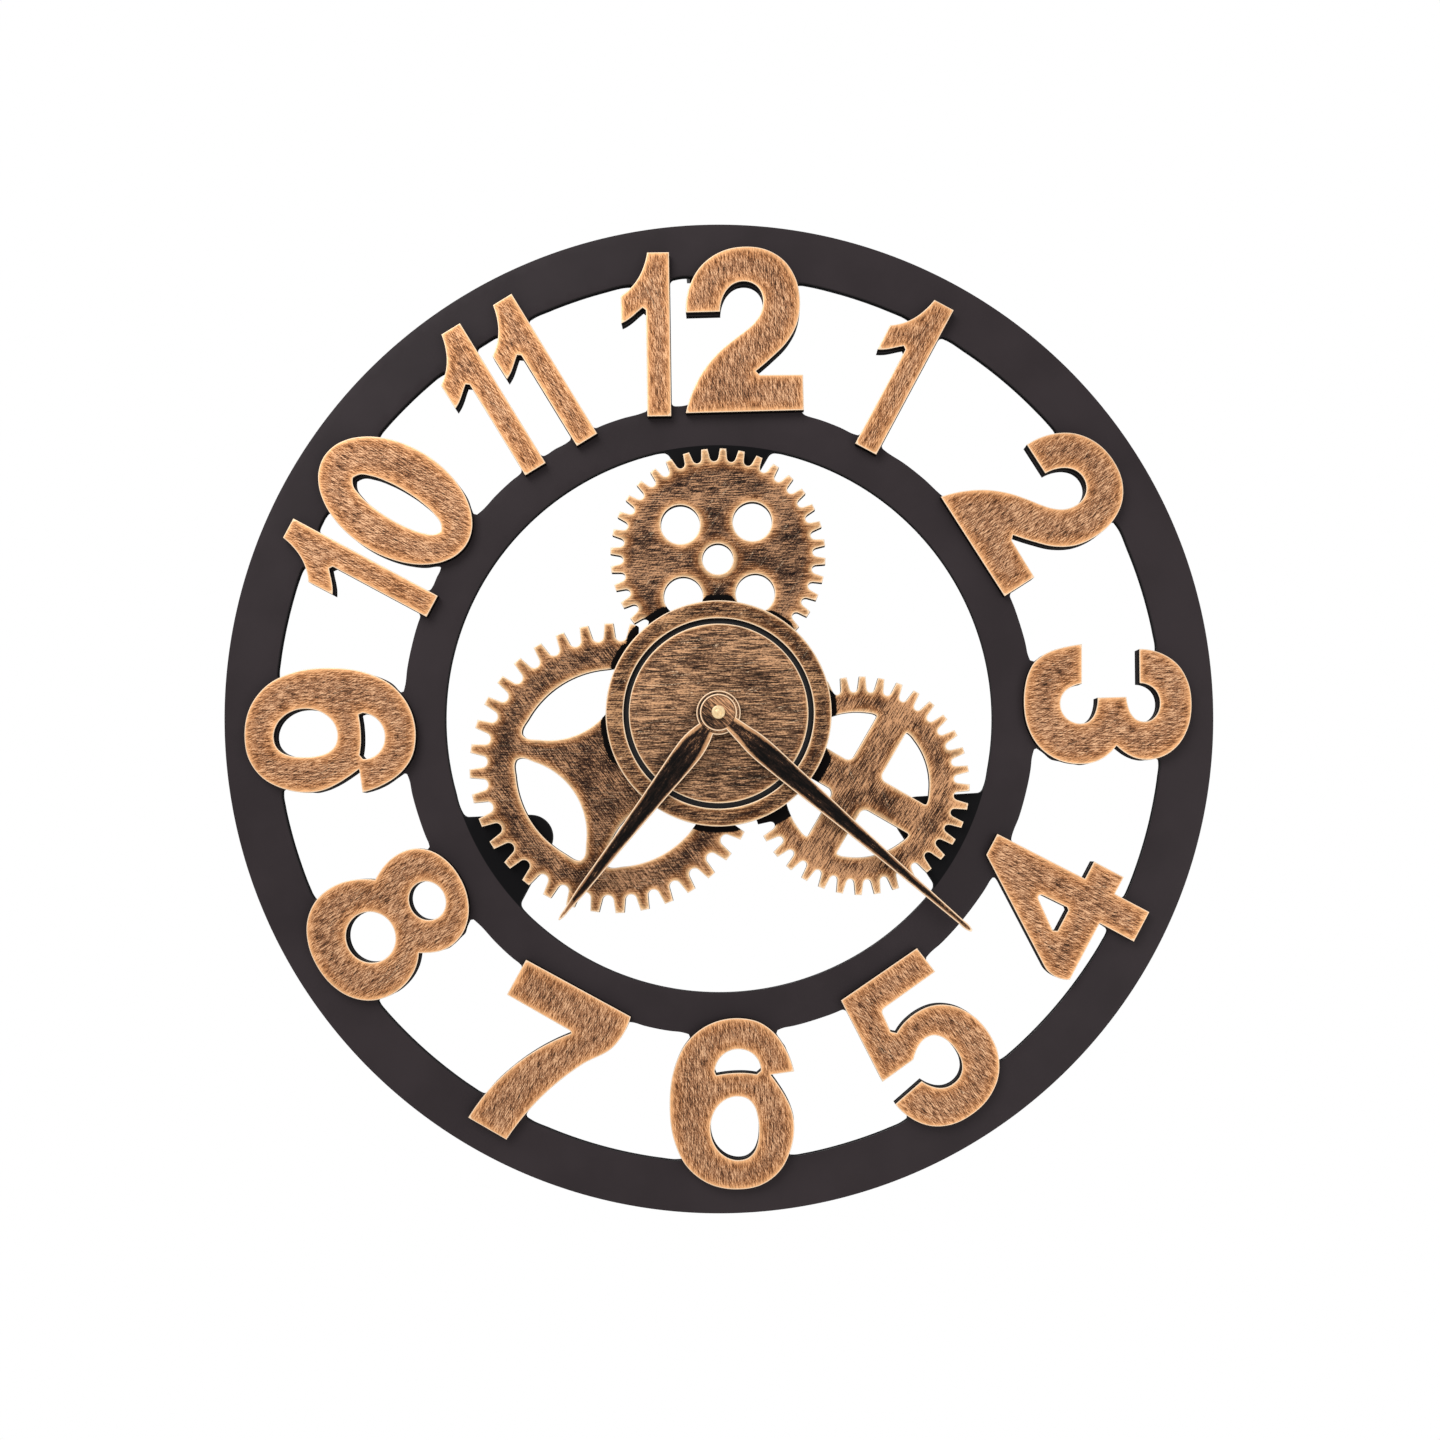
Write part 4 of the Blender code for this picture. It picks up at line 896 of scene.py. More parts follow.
@dataclass
class Plate:
    """A flat plate with rounded edges, drawn from its solid's outlines."""

    node: str
    corner: float = 38.0
    spacing: float = 1.0
    grid: float = 2.2
    edge: float = 0.45
    back_edge: float = 0.25
    grain_turn: float = 0.0
    longest: float = 9.0
    row_share: float = 0.87
    clear_share: float = 0.45
    tag_spacing: float = 0.4
    loops: list[Outline] = field(default_factory=list, init=False)
    front: float = field(default=0.0, init=False)

    def _face(self, ring: list[np.ndarray], grid: float) -> tuple[np.ndarray, np.ndarray]:
        """Fills a face with triangles, with points of a grid between its outlines.

        Args:
            ring: The face's closed lines.
            grid: The grid's step, or 0 for none.

        Returns:
            The points and the triangles.
        """
        points = np.concatenate(ring)
        edges, first = [], 0
        for loop in ring:
            numbers = np.arange(len(loop)) + first
            edges += list(zip(numbers.tolist(), np.roll(numbers, -1).tolist()))
            first += len(loop)
        if grid:
            low, high = points.min(axis=0), points.max(axis=0)
            rows = np.arange(low[1] + grid / 2, high[1], grid * self.row_share)
            columns = np.arange(low[0] + grid / 2, high[0], grid)
            across, up = np.meshgrid(columns, rows)
            across = across + (np.arange(len(rows)) % 2)[:, None] * grid / 2
            added = np.stack([across.ravel(), up.ravel()], axis=1)
            added = added[inside(added, ring)]
            tree = search_tree(points)
            far = [tree.find((x, z, 0.0))[2] > grid * self.clear_share for x, z in added]
            points = np.concatenate([points, added[np.array(far, bool)]])
        found = delaunay_2d_cdt([Vector(point) for point in points], edges, [], 1, 1e-6)
        places = np.array([tuple(point) for point in found[0]])
        triangles = np.array([list(face) for face in found[2]])
        lines = {(min(edge), max(edge)) for edge, old in zip(found[1], found[4]) if old}
        return places, triangles[self._solid(places, triangles, lines, ring)]

    @staticmethod
    def _solid(places: np.ndarray, triangles: np.ndarray, lines: set, ring: list[np.ndarray]) -> np.ndarray:
        """Finds the triangles of the plate, one area between outlines at a time.

        Args:
            places: The points.
            triangles: The triangles of the whole field.
            lines: The edges that belong to an outline, as pairs of numbers.
            ring: The outlines.

        Returns:
            True for each triangle of the plate.
        """
        beside = {}
        for number, (a, b, c) in enumerate(triangles.tolist()):
            for pair in ((a, b), (b, c), (c, a)):
                beside.setdefault((min(pair), max(pair)), []).append(number)
        near = [[] for _ in triangles]
        for pair, owners in beside.items():
            if len(owners) == 2 and pair not in lines:
                near[owners[0]].append(owners[1])
                near[owners[1]].append(owners[0])
        sides = places[triangles[:, 1:]] - places[triangles[:, :1]]
        area = np.abs(sides[:, 0, 0] * sides[:, 1, 1] - sides[:, 0, 1] * sides[:, 1, 0])
        solid = inside(places[triangles].mean(axis=1), ring)
        seen = np.zeros(len(triangles), bool)
        for first in np.argsort(-area):
            if seen[first]:
                continue
            seen[first] = True
            waiting = [first]
            while waiting:
                number = waiting.pop()
                solid[number] = solid[first]
                fresh = [other for other in near[number] if not seen[other]]
                seen[fresh] = True
                waiting += fresh
        return solid

    def build(self) -> bpy.types.Object:
        """Builds the plate's mesh with its tags.

        Returns:
            The object.
        """
        found, self.front, back = outlines_of(self.node)
        self.loops = [loop.smoothed(self.corner, self.spacing, self.longest) for loop in found]
        thick = back - self.front
        steps = [(self.edge * inset, self.edge * depth) for inset, depth in ROUNDING]
        steps += [(0.0, thick - self.back_edge), (self.back_edge, thick)]
        rings = [[loop.inset(distance) for loop in self.loops] for distance, _ in steps]
        places, faces = [], []
        count = 0
        for ring, depth, grid in ((rings[0], 0.0, self.grid), (rings[-1], thick, 0.0)):
            flat, triangles = self._face(ring, grid)
            places.append(np.insert(flat, 1, depth, axis=1))
            faces += (triangles + count).tolist()
            count += len(flat)
        for (upper, lower), (top, bottom) in zip(zip(rings, rings[1:]), zip(steps, steps[1:])):
            for above, below in zip(upper, lower):
                size = len(above)
                places += [np.insert(above, 1, top[1], axis=1), np.insert(below, 1, bottom[1], axis=1)]
                numbers = np.arange(size)
                following = np.roll(numbers, -1)
                quads = np.stack([numbers, following, following + size, numbers + size], axis=1)
                faces += (quads + count).tolist()
                count += 2 * size
        points = np.concatenate(places) + (0.0, self.front, AXIS_HEIGHT / MM)
        piece = Maker.piece(self.node + "_plate", points * MM, faces, PLATE_WELD)
        self._tag(piece.data)
        return Maker.shaded(piece)

    def _tag(self, mesh: bpy.types.Mesh) -> None:
        """Writes the distance from the edge and the place along the strokes on each point.

        Args:
            mesh: The plate's mesh.
        """
        fine = [loop.smoothed(self.corner, self.tag_spacing).points for loop in self.loops]
        tree = search_tree(np.concatenate(fine))
        rims = mesh.attributes.new(TAG_RIM, "FLOAT", "POINT")
        grains = mesh.attributes.new(TAG_GRAIN, "FLOAT_VECTOR", "POINT")
        cos, sin = math.cos(math.radians(self.grain_turn)), math.sin(math.radians(self.grain_turn))
        shift = sum(map(ord, self.node)) % 97 * 13.0
        for number, vertex in enumerate(mesh.vertices):
            x, z = vertex.co.x / MM, (vertex.co.z - AXIS_HEIGHT) / MM
            depth = vertex.co.y / MM - self.front
            rims.data[number].value = -depth if depth > self.edge * 0.9 else tree.find((x, z, 0.0))[2]
            grains.data[number].vector = (x * cos + z * sin + shift, 0.0, z * cos - x * sin)


class GeometryTree(NodeTree):
    """A Geometry Nodes tree under construction, with named inputs for its sizes."""

    def __init__(self, name: str, sizes: dict[str, float | int], finish: object) -> None:
        """Starts the tree.

        Args:
            name: The tree's name.
            sizes: Its named inputs with their values; whole numbers are counts.
            finish: What the made piece is finished in.
        """
        super().__init__(bpy.data.node_groups.new(name, "GeometryNodeTree"), "GeometryNode")
        self.finish = finish
        self.values = {}
        face = self.tree.interface
        for way in ("INPUT", "OUTPUT"):
            face.new_socket("Geometry", in_out=way, socket_type="NodeSocketGeometry")
        for key, value in sizes.items():
            kind = "NodeSocketInt" if isinstance(value, int) else "NodeSocketFloat"
            self.values[face.new_socket(key, in_out="INPUT", socket_type=kind).identifier] = value
        self.entry = self.tree.nodes.new("NodeGroupInput")

    def size(self, *keys: str) -> list[Value]:
        """The values of named inputs."""
        return [Value(self, self.entry.outputs[key]) for key in keys]

    def vector(self, x: Value | float = 0.0, y: Value | float = 0.0, z: Value | float = 0.0) -> Value:
        """A vector from its three parts."""
        return self.node("CombineXYZ", None, {"X": x, "Y": y, "Z": z})

    def circle(self, steps: Value | int, radius: Value | float) -> Value:
        """A round curve in the flat of X and Y."""
        return self.node("CurvePrimitiveCircle", {"mode": "RADIUS"}, {"Resolution": steps, "Radius": radius})

    def swept(self, path: Value, section: Value, caps: bool = False) -> Value:
        """A closed section swept along a path."""
        return self.node("CurveToMesh", None, {"Curve": path, "Profile Curve": section, "Fill Caps": caps})

    def drum(self, steps: Value | int, radius: Value, depth: Value) -> Value:
        """A cylinder round the Z axis."""
        return self.node("MeshCylinder", None, {"Vertices": steps, "Radius": radius, "Depth": depth}, "Mesh")

    def ball(self, steps: Value | int, rings: int) -> Value:
        """A ball of radius 1."""
        return self.node("MeshUVSphere", None, {"Segments": steps, "Rings": rings, "Radius": 1.0}, "Mesh")

    def spread(self, points: Value, piece: Value) -> Value:
        """A copy of a piece on each point."""
        return self.node("InstanceOnPoints", None, {"Points": points, "Instance": piece})

    def moved(
        self, geometry: Value, place: Value | Triple = (0, 0, 0), turn: Triple = (0, 0, 0),
        scale: Value | Triple = (1, 1, 1),
    ) -> Value:
        """Geometry scaled, turned and moved."""
        inputs = {"Geometry": geometry, "Translation": place, "Rotation": turn, "Scale": scale}
        return self.node("Transform", None, inputs)

    def joined(self, *parts: Value) -> Value:
        """Several geometries as one."""
        return self.node("JoinGeometry", None, {"Geometry": list(reversed(parts))})

    def made(self, name: str, geometry: Value, points: list[tuple] | None = None) -> bpy.types.Object:
        """Ends the tree and turns it into a piece.

        Args:
            name: The piece's name.
            geometry: What the tree made, in millimetres round the frame's origin.
            points: Places in millimetres that the tree's own geometry input gets.

        Returns:
            The piece, a plain mesh at the origin.
        """
        whole = self.node("RealizeInstances", None, {"Geometry": self.moved(geometry, scale=(MM,) * 3)})
        dressed = self.node("SetMaterial", None, {"Geometry": whole, "Material": FINISHES.of(self.finish)})
        self.feed(self.tree.nodes.new("NodeGroupOutput").inputs[0], dressed)
        start = bpy.data.meshes.new(name)
        start.from_pydata(points or [], [], [])
        holder = linked(name, start)
        modifier = holder.modifiers.new("make", "NODES")
        modifier.node_group = self.tree
        for identifier, value in self.values.items():
            modifier[identifier] = value
        mesh = bpy.data.meshes.new_from_object(holder.evaluated_get(bpy.context.evaluated_depsgraph_get()))
        holder.modifiers.remove(modifier)
        Maker.mended(mesh, WELD)
        holder.data = mesh
        return Maker.shaded(holder)


@dataclass(frozen=True)
class Ring:
    """A flat ring: its radii, and its front and back depth in the frame."""

    outer: float
    inner: float
    front: float
    back: float
    edge: float = 0.35
    steps: int = 192

    def build(self, name: str, finish: object) -> bpy.types.Object:
        """Sweeps the ring's rounded section round the hands' axis.

        Args:
            name: The piece's name.
            finish: Its finish.

        Returns:
            The piece.
        """
        sizes = {
            "Outer radius": self.outer, "Inner radius": self.inner, "Front": self.front, "Back": self.back,
            "Edge radius": self.edge, "Steps round": self.steps,
        }
        tree = GeometryTree(name + "_sweep", sizes, finish)
        outer, inner, front, back, edge, steps = tree.size(*sizes)
        sides = {"Width": outer - inner, "Height": back - front}
        section = tree.node("CurvePrimitiveQuadrilateral", {"mode": "RECTANGLE"}, sides)
        section = tree.node("FilletCurve", {"mode": "POLY"}, {"Curve": section, "Count": 3, "Radius": edge})
        swept = tree.swept(tree.circle(steps, (outer + inner) * 0.5), section)
        place = tree.vector(0.0, (front + back) * 0.5, AXIS_HEIGHT / MM)
        return tree.made(name, tree.moved(swept, place, (QUARTER, 0, 0)))


@dataclass(frozen=True)
class HubSizes:
    """The three layers of the hub."""

    base: Ring = Ring(HUB_RADIUS, 4.3, -29.6, -26.6)
    ring: Ring = Ring(HUB_RADIUS, 57.0, -32.9, -29.9)
    disc: Ring = Ring(53.8, 4.3, -32.9, -29.9)


HUB = HubSizes()


@dataclass
class Finishes:
    """Every finish of the clock, made once."""

    made: dict[str, bpy.types.Material] = field(default_factory=dict, init=False)

    def of(self, finish: object) -> bpy.types.Material:
        """Finds the material of a finish, and builds it on its first use.

        Args:
            finish: The finish.

        Returns:
            Its material.
        """
        if finish.name not in self.made:
            self.made[finish.name] = finish.make()
        return self.made[finish.name]


FINISHES = Finishes()

BOARD_ENAMEL = Enamel("board_enamel", shade(47, 41, 43), shade(30, 26, 28), gloss=0.07, tagged=True)
HUB_ENAMEL = Enamel("hub_enamel", shade(20, 17, 18), shade(60, 52, 50))
HANGER_ENAMEL = Enamel("hanger_enamel", shade(46, 42, 43), shade(96, 92, 92))
DIGIT_BRONZE = BrushedBronze(
    "digit_bronze", shade(58, 40, 30), shade(160, 110, 77), shade(234, 186, 144), shade(252, 190, 134),
    stroke_length=7.5, stroke_width=0.62, cross_share=0.4, crossing=26.0, grit_share=1.7, edge_width=3.0,
    edge_share=1.0, halo_width=9.0, halo_share=0.6, tone=0.47, contrast=0.95,
)
TOP_BRONZE = BrushedBronze(
    "top_gear_bronze", shade(26, 19, 18), shade(84, 59, 46), shade(196, 148, 110), patch_share=1.6,
    edge_width=2.8, halo_width=7.0, halo_share=0.6, tone=0.44, contrast=0.95, hub_shadow=True,
)
LEFT_BRONZE = BrushedBronze(
    "left_gear_bronze", shade(28, 20, 18), shade(88, 61, 46), shade(198, 149, 110), cross_share=0.4,
    patch_share=1.5, halo_width=6.0, halo_share=0.55, tone=0.47, contrast=0.95, scratch_share=0.8,
    scratch_bend=1.6, hub_shadow=True,
)
RIGHT_BRONZE = BrushedBronze(
    "right_gear_bronze", shade(34, 22, 18), shade(104, 71, 51), shade(208, 156, 114), patch_share=1.6,
    halo_width=6.0, tone=0.52, contrast=0.95, hub_shadow=True,
)
RING_BRONZE = BrushedBronze(
    "hub_ring_bronze", shade(34, 23, 19), shade(102, 72, 52), shade(200, 152, 110), follow=Follow.HUB_RING,
    patch_share=1.2, edge_width=1.2, halo_width=3.0, halo_share=0.3, tone=0.45, contrast=0.85,
)
DISC_BRONZE = BrushedBronze(
    "hub_disc_bronze", shade(38, 28, 23), shade(110, 80, 60), shade(216, 166, 124), follow=Follow.HUB_DISC,
    crossing=6.0, patch_share=0.9, edge_width=1.2, halo_width=4.0, halo_share=0.25, tone=0.47, contrast=0.74,
    scratch_share=0.8,
)
BRASS = TurnedMetal("pale_brass", shade(255, 232, 188), shade(222, 182, 124), 0.34, 0.4)
STEEL = TurnedMetal("bright_steel", shade(196, 198, 200), shade(150, 152, 156), 0.28)
DARK_PLASTIC = Moulding("case_plastic_grain", shade(44, 44, 47), 0.48)
PALE_PLASTIC = Moulding("wheel_plastic_grain", shade(222, 220, 210), 0.38, depth=0.01)
RUBBER = Moulding("soft_rubber", shade(30, 30, 31), 0.78, 0.3, 0.04)
SLEEVE = Moulding("cell_sleeve_film", shade(78, 82, 92), 0.3, 1.5, 0.005)


@dataclass
class Board:
    """The black board: rings, webs behind the numbers and three tabs, cut from one sheet."""

    corner: float = 40.0
    spacing: float = 1.4
    grid: float = 5.0

    def build(self) -> None:
        """Builds and dresses the board."""
        plate = Plate("frame_board", self.corner, self.spacing, self.grid, edge=0.6, back_edge=0.4)
        Maker.settled(plate.build(), BOARD_ENAMEL, "black", "frame_board")


@dataclass
class NumberPlates:
    """The fifteen digit plates, each brushed along its own upright: the hour, and a turn in degrees."""

    grid: float = 1.8
    turns: dict[str, tuple[int, float]] = field(
        default_factory=lambda: {
            "digit_1": (1, 1.8), "digit_2": (2, 2.7), "digit_3": (3, 0.0), "digit_4": (4, 2.2),
            "digit_5": (5, 4.5), "digit_6": (6, 0.0), "digit_7": (7, 0.0), "digit_8": (8, 0.0),
            "digit_9": (9, 0.0), "digit_10_one": (10, 1.8), "digit_10_zero": (10, -1.2), "digit_11_left": (11, 1.5),
            "digit_11_right": (11, 1.5), "digit_12_one": (12, 0.8), "digit_12_two": (12, 1.5),
        }
    )

    def build(self) -> None:
        """Builds and dresses the plates."""
        for node, (hour, turn) in self.turns.items():
            plate = Plate(node, grid=self.grid, grain_turn=90 - HOUR_TURN * hour + turn)
            Maker.settled(plate.build(), DIGIT_BRONZE, "bronze", node)


@dataclass
class GearPlates:
    """The three toothed plates under the hub, with the direction of their strokes in degrees."""

    corner: float = 62.0
    spacing: float = 0.9
    grid: float = 1.9
    longest: float = 4.5
    strokes: tuple[tuple[str, float, BrushedBronze], ...] = (
        ("gear_plate_top", 3.0, TOP_BRONZE),
        ("gear_plate_left", -52.0, LEFT_BRONZE),
        ("gear_plate_right", 58.0, RIGHT_BRONZE),
    )

    def build(self) -> None:
        """Builds and dresses the plates."""
        for node, turn, finish in self.strokes:
            plate = Plate(node, self.corner, self.spacing, self.grid, grain_turn=turn, longest=self.longest)
            Maker.settled(plate.build(), finish, "bronze", node)


@dataclass
class Hub:
    """The hub's black base with the outer ring and the inner disc on it."""

    sizes: HubSizes = HUB

    def build(self) -> None:
        """Builds and dresses the three layers."""
        for node, ring, finish, slot in (
            ("hub_base", self.sizes.base, HUB_ENAMEL, "black"),
            ("hub_ring", self.sizes.ring, RING_BRONZE, "bronze"),
            ("hub_disc", self.sizes.disc, DISC_BRONZE, "bronze"),
        ):
            Maker.settled(ring.build(node + "_turned", finish), finish, slot, node)


@dataclass
class Lathe:
    """A turned piece: a profile of (radius, depth) from one pole to the other."""

    profile: list[tuple[float, float]]
    steps: int = 48

    def build(self, name: str, x: float, z: float, lying: bool = False) -> bpy.types.Object:
        """Turns the profile round a front-to-back axis, or round one from left to right.

        Args:
            name: The piece's name.
            x: The axis's place across, or its depth where the piece lies.
            z: The axis's height.
            lying: Whether the axis runs from left to right.

        Returns:
            The piece.
        """
        points, faces, rings = [], [], []
        for radius, depth in self.profile:
            ring = []
            for i in range(self.steps if radius > 0 else 1):
                angle = 2 * math.pi * i / self.steps
                across, up = radius * math.cos(angle), radius * math.sin(angle)
                ring.append(len(points))
                points.append((depth, x + across, z + up) if lying else (x + across, depth, z + up))
            rings.append(ring)
        for first, second in zip(rings, rings[1:]):
            for i in range(self.steps):
                k = i + 1
                corners = ((first, i), (first, k), (second, k), (second, i))
                faces.append(list(dict.fromkeys(ring[number % len(ring)] for ring, number in corners)))
        return Maker.shaded(Maker.piece(name, np.array(points) * MM, faces))


def rounded(radius: float, start: float, end: float, edge: float, steps: int = 4) -> list[tuple[float, float]]:
    """Points of a cylinder's profile with rounded rims.

    Args:
        radius: The cylinder's radius.
        start: Depth of its first end.
        end: Depth of its last end.
        edge: Radius of the rims.
        steps: Faces on each rim.

    Returns:
        The points, from the first end to the last.
    """
    way = math.copysign(1, end - start)
    turns = [QUARTER * i / steps for i in range(steps + 1)]
    near = [(radius - edge * (1 - math.sin(t)), start + way * edge * (1 - math.cos(t))) for t in turns]
    far = [(radius - edge * (1 - math.cos(t)), end - way * edge * (1 - math.sin(t))) for t in turns]
    return near + far


@dataclass
class Hands:
    """Hour hand, minute hand and the brass cap nut that holds them. Turns are degrees from +X to +Z."""

    hands: tuple[tuple[str, float, float], ...] = (("hour", 90 - 217.6, 13.2), ("minute", 90 - 130.8, 11.0))
    corner: float = 34.0
    spacing: float = 0.8
    grid: float = 1.1
    edge: float = 0.28
    back_edge: float = 0.15
    nut_radius: float = 4.0
    nut_front: float = -43.9
    nut_back: float = -41.2
    nut_collar: float = 1.9
    nut_hole: float = 1.5
    nut_rim: float = 0.5
    nut_top: tuple[tuple[float, float], ...] = ((0.0, 0.12), (1.5, 0.1), (1.9, 0.3), (2.3, 0.0))

    def build(self) -> None:
        """Builds and dresses the hands and the nut."""
        for name, turn, boss in self.hands:
            node = name + "_hand"
            plate = Plate(node, self.corner, self.spacing, self.grid, self.edge, self.back_edge, turn)
            finish = HandFinish(node + "_enamel", turn, boss)
            Maker.settled(plate.build(), finish, "hands", node, body=name + "_group")
        front, end = self.nut_front, self.nut_back - self.nut_collar
        profile = [(radius, front + depth) for radius, depth in self.nut_top]
        side = rounded(self.nut_radius, front, self.nut_back, self.nut_rim)
        profile += [point for point in side if point[0] > profile[-1][0]]
        profile += [(self.nut_hole, self.nut_back), (self.nut_hole, end), (0.0, end)]
        nut = Lathe(profile).build("cap_nut_turned", 0.0, AXIS_HEIGHT / MM)
        Maker.settled(nut, BRASS, "brass", "cap_nut", body="minute_group")


@dataclass
class Screws:
    """Pan-head screws with a cross recess, driven in from behind."""

    head_radius: float = 3.0
    head_height: float = 1.9
    shank_radius: float = 1.4
    recess: float = 0.75
    recess_share: float = 1.15
    shank_steps: int = 16

    def _screws(self, name: str, nodes: list[str]) -> bpy.types.Object:
        """Builds one set of like screws, placed where their solids are.

        Args:
            name: The piece's name.
            nodes: The solids.

        Returns:
            The piece.
        """
        boxes = [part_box(node) for node in nodes]
        tip, seat = boxes[0][0].y / MM, boxes[0][1].y / MM - self.head_height
        places = [((low.x + high.x) / 2 / MM, seat, (low.z + high.z) / 2 / MM) for low, high in boxes]
        sizes = {
            "Head radius": self.head_radius, "Head height": self.head_height, "Shank radius": self.shank_radius,
            "Shank length": seat - tip, "Recess width": self.recess, "Steps round": 32,
        }
        tree = GeometryTree(name + "_tree", sizes, STEEL)
        radius, height, shank_radius, length, recess, steps, points = tree.size(*sizes, "Geometry")
        low = height * 0.5
        wide = radius * self.recess_share
        drum = tree.moved(tree.drum(steps, radius, low), tree.vector(z=low * 0.5))
        ball = tree.moved(tree.ball(steps, 16), tree.vector(z=low), scale=tree.vector(radius, radius, low))
        head = tree.node("MeshBoolean", {"operation": "UNION"}, {"Mesh 2": [drum, ball]})
        bars = [
            tree.moved(tree.node("MeshCube", None, {"Size": tree.vector(*sides, height)}), tree.vector(z=height))
            for sides in ((recess, wide), (wide, recess))
        ]
        cut = tree.node("MeshBoolean", {"operation": "DIFFERENCE"}, {"Mesh 1": head, "Mesh 2": bars})
        shank = tree.moved(tree.drum(self.shank_steps, shank_radius, length), tree.vector(z=length * -0.5))
        screw = tree.moved(tree.joined(cut, shank), turn=(-QUARTER, 0, 0))
        return tree.made(name, tree.spread(points, screw), places)

    def build(self) -> None:
        """Builds and dresses both sets."""
        for kind in ("tab", "hub"):
            nodes = [f"{kind}_screw_{side}" for side in ("top", "left", "right")]
            Maker.settled(self._screws(kind + "_screws", nodes), STEEL, "steel", *nodes)


@dataclass
class Movement:
    """The quartz movement behind the board: case, cover, setting knob, train and supply."""

    bevel: float = 0.5
    bevelled_from: float = 4.0
    bevelled_turn: float = 60.0
    smoothed_turn: float = 40.0
    knob_place: tuple[float, float] = (-9.3, -273.5)
    knob_radius: float = 5.0
    knob_front: float = -2.8
    knob_back: float = -0.7
    knob_wire: float = 0.3
    cell_depth: float = -10.3
    cell_height: float = -303.7
    cell_radius: float = 7.1
    spring_end: float = -26.1
    spring_wire: float = 0.3
    grip_start: Triple = (12.0, -3.12, -289.0)

    def _softened(self, node: str, slot: str, finish: object) -> None:
        """Replaces a moulded box by a copy with rounded edges.

        Args:
            node: The solid's name.
            slot: The record's slot.
            finish: Its finish.
        """
        work = bmesh.new()
        work.from_mesh(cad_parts[node].data)
        bmesh.ops.remove_doubles(work, verts=work.verts, dist=1e-6)
        bmesh.ops.dissolve_limit(work, angle_limit=math.radians(1), verts=work.verts, edges=work.edges)
        sharp = [
            edge for edge in work.edges
            if edge.is_manifold
            and edge.calc_face_angle() > math.radians(self.bevelled_turn)
            and edge.calc_length() > self.bevelled_from * MM
        ]
        bmesh.ops.bevel(
            work, geom=sharp, offset=self.bevel * MM, segments=3, profile=0.5, affect="EDGES", clamp_overlap=True
        )
        bmesh.ops.triangulate(work, faces=[face for face in work.faces if len(face.verts) > 4])
        mesh = bpy.data.meshes.new(node + "_moulded")
        work.to_mesh(mesh)
        work.free()
        piece = Maker.shaded(linked(node + "_moulded", mesh), self.smoothed_turn)
        Maker.settled(piece, finish, slot, node)

    def _knob_grip(self) -> bpy.types.Object:
        """Builds the ribs round the setting knob with a raised rim on its face.

        Returns:
            The piece.
        """
        sizes = {
            "Knob radius": self.knob_radius, "Rib radius": 0.32, "Front": self.knob_front, "Back": self.knob_back,
            "Ribs": 30,
        }
        tree = GeometryTree("knob_grip_tree", sizes, DARK_PLASTIC)
        radius, rib_radius, front, back, count = tree.size(*sizes)
        x, z = self.knob_place
        rib = tree.drum(10, rib_radius, back - front - 0.3)
        circle = tree.node("MeshCircle", None, {"Vertices": count, "Radius": radius - 0.3})
        ribs = tree.moved(tree.spread(circle, rib), tree.vector(x, (front + back) * 0.5, z), (QUARTER, 0, 0))
        rim = tree.swept(tree.circle(48, radius - 1.5), tree.circle(10, self.knob_wire))
        rim = tree.moved(rim, tree.vector(x, back - 0.02, z), (QUARTER, 0, 0))
        return tree.made("setting_knob_grip", tree.joined(ribs, rim))

    def _spring(self) -> bpy.types.Object:
        """Builds the coiled contact that presses on the flat end of the cell.

        Returns:
            The piece.
        """
        sizes = {
            "Turns": 3.5, "Small radius": 2.2, "Large radius": 4.1, "Length": 1.1, "Wire radius": self.spring_wire,
        }
        tree = GeometryTree("contact_spring_tree", sizes, STEEL)
        turns, small, large, length, wire = tree.size(*sizes)
        coil = {"Resolution": 28, "Rotations": turns, "Start Radius": large, "End Radius": small, "Height": length}
        bent = tree.swept(tree.node("CurveSpiral", None, coil), tree.circle(8, wire), True)
        place = tree.vector(self.spring_end + self.spring_wire, self.cell_depth, self.cell_height)
        return tree.made("contact_spring", tree.moved(bent, place, (0, QUARTER, 0)))

    def _cover_grip(self) -> bpy.types.Object:
        """Builds the moulded grip lines along the lower edge of the rear cover.

        Returns:
            The piece.
        """
        sizes = {"Lines": 9, "Line length": 3.4, "Line radius": 0.3, "Spacing": 1.5}
        tree = GeometryTree("cover_grip_tree", sizes, DARK_PLASTIC)
        count, length, radius, spacing = tree.size(*sizes)
        bar = tree.moved(tree.ball(12, 8), scale=tree.vector(radius, radius, length * 0.5))
        row = {"Count": count, "Start Location": self.grip_start, "Offset": tree.vector(spacing)}
        line = tree.node("MeshLine", {"mode": "OFFSET"}, row)
        return tree.made("cover_grip", tree.spread(line, bar))

    def _cell(self) -> None:
        """Builds the cell: a printed film sleeve with rolled ends between two metal ends."""
        radius = self.cell_radius
        lip, rim = radius - 1.2, radius - 1.0
        sleeve = [(0.0, -23.9), (lip, -23.9), *rounded(radius, -24.1, 23.6, 0.45), (lip, 23.3), (0.0, 23.3)]
        ends = [
            (0.0, -24.4), (rim, -24.4), (radius - 0.6, -24.1), (radius - 0.6, 23.3), (rim, 23.75), (2.9, 23.75),
            *rounded(2.6, 23.8, 25.0, 0.25)[5:], (0.0, 25.0),
        ]
        for name, profile, finish, slot, replaced in (
            ("cell_sleeve_film", sleeve, SLEEVE, "cell_sleeve", ("cell",)),
            ("cell_ends", ends, STEEL, "steel", ()),
        ):
            piece = Lathe(profile).build(name, self.cell_depth, self.cell_height, lying=True)
            Maker.settled(piece, finish, slot, *replaced, body="cell_group")

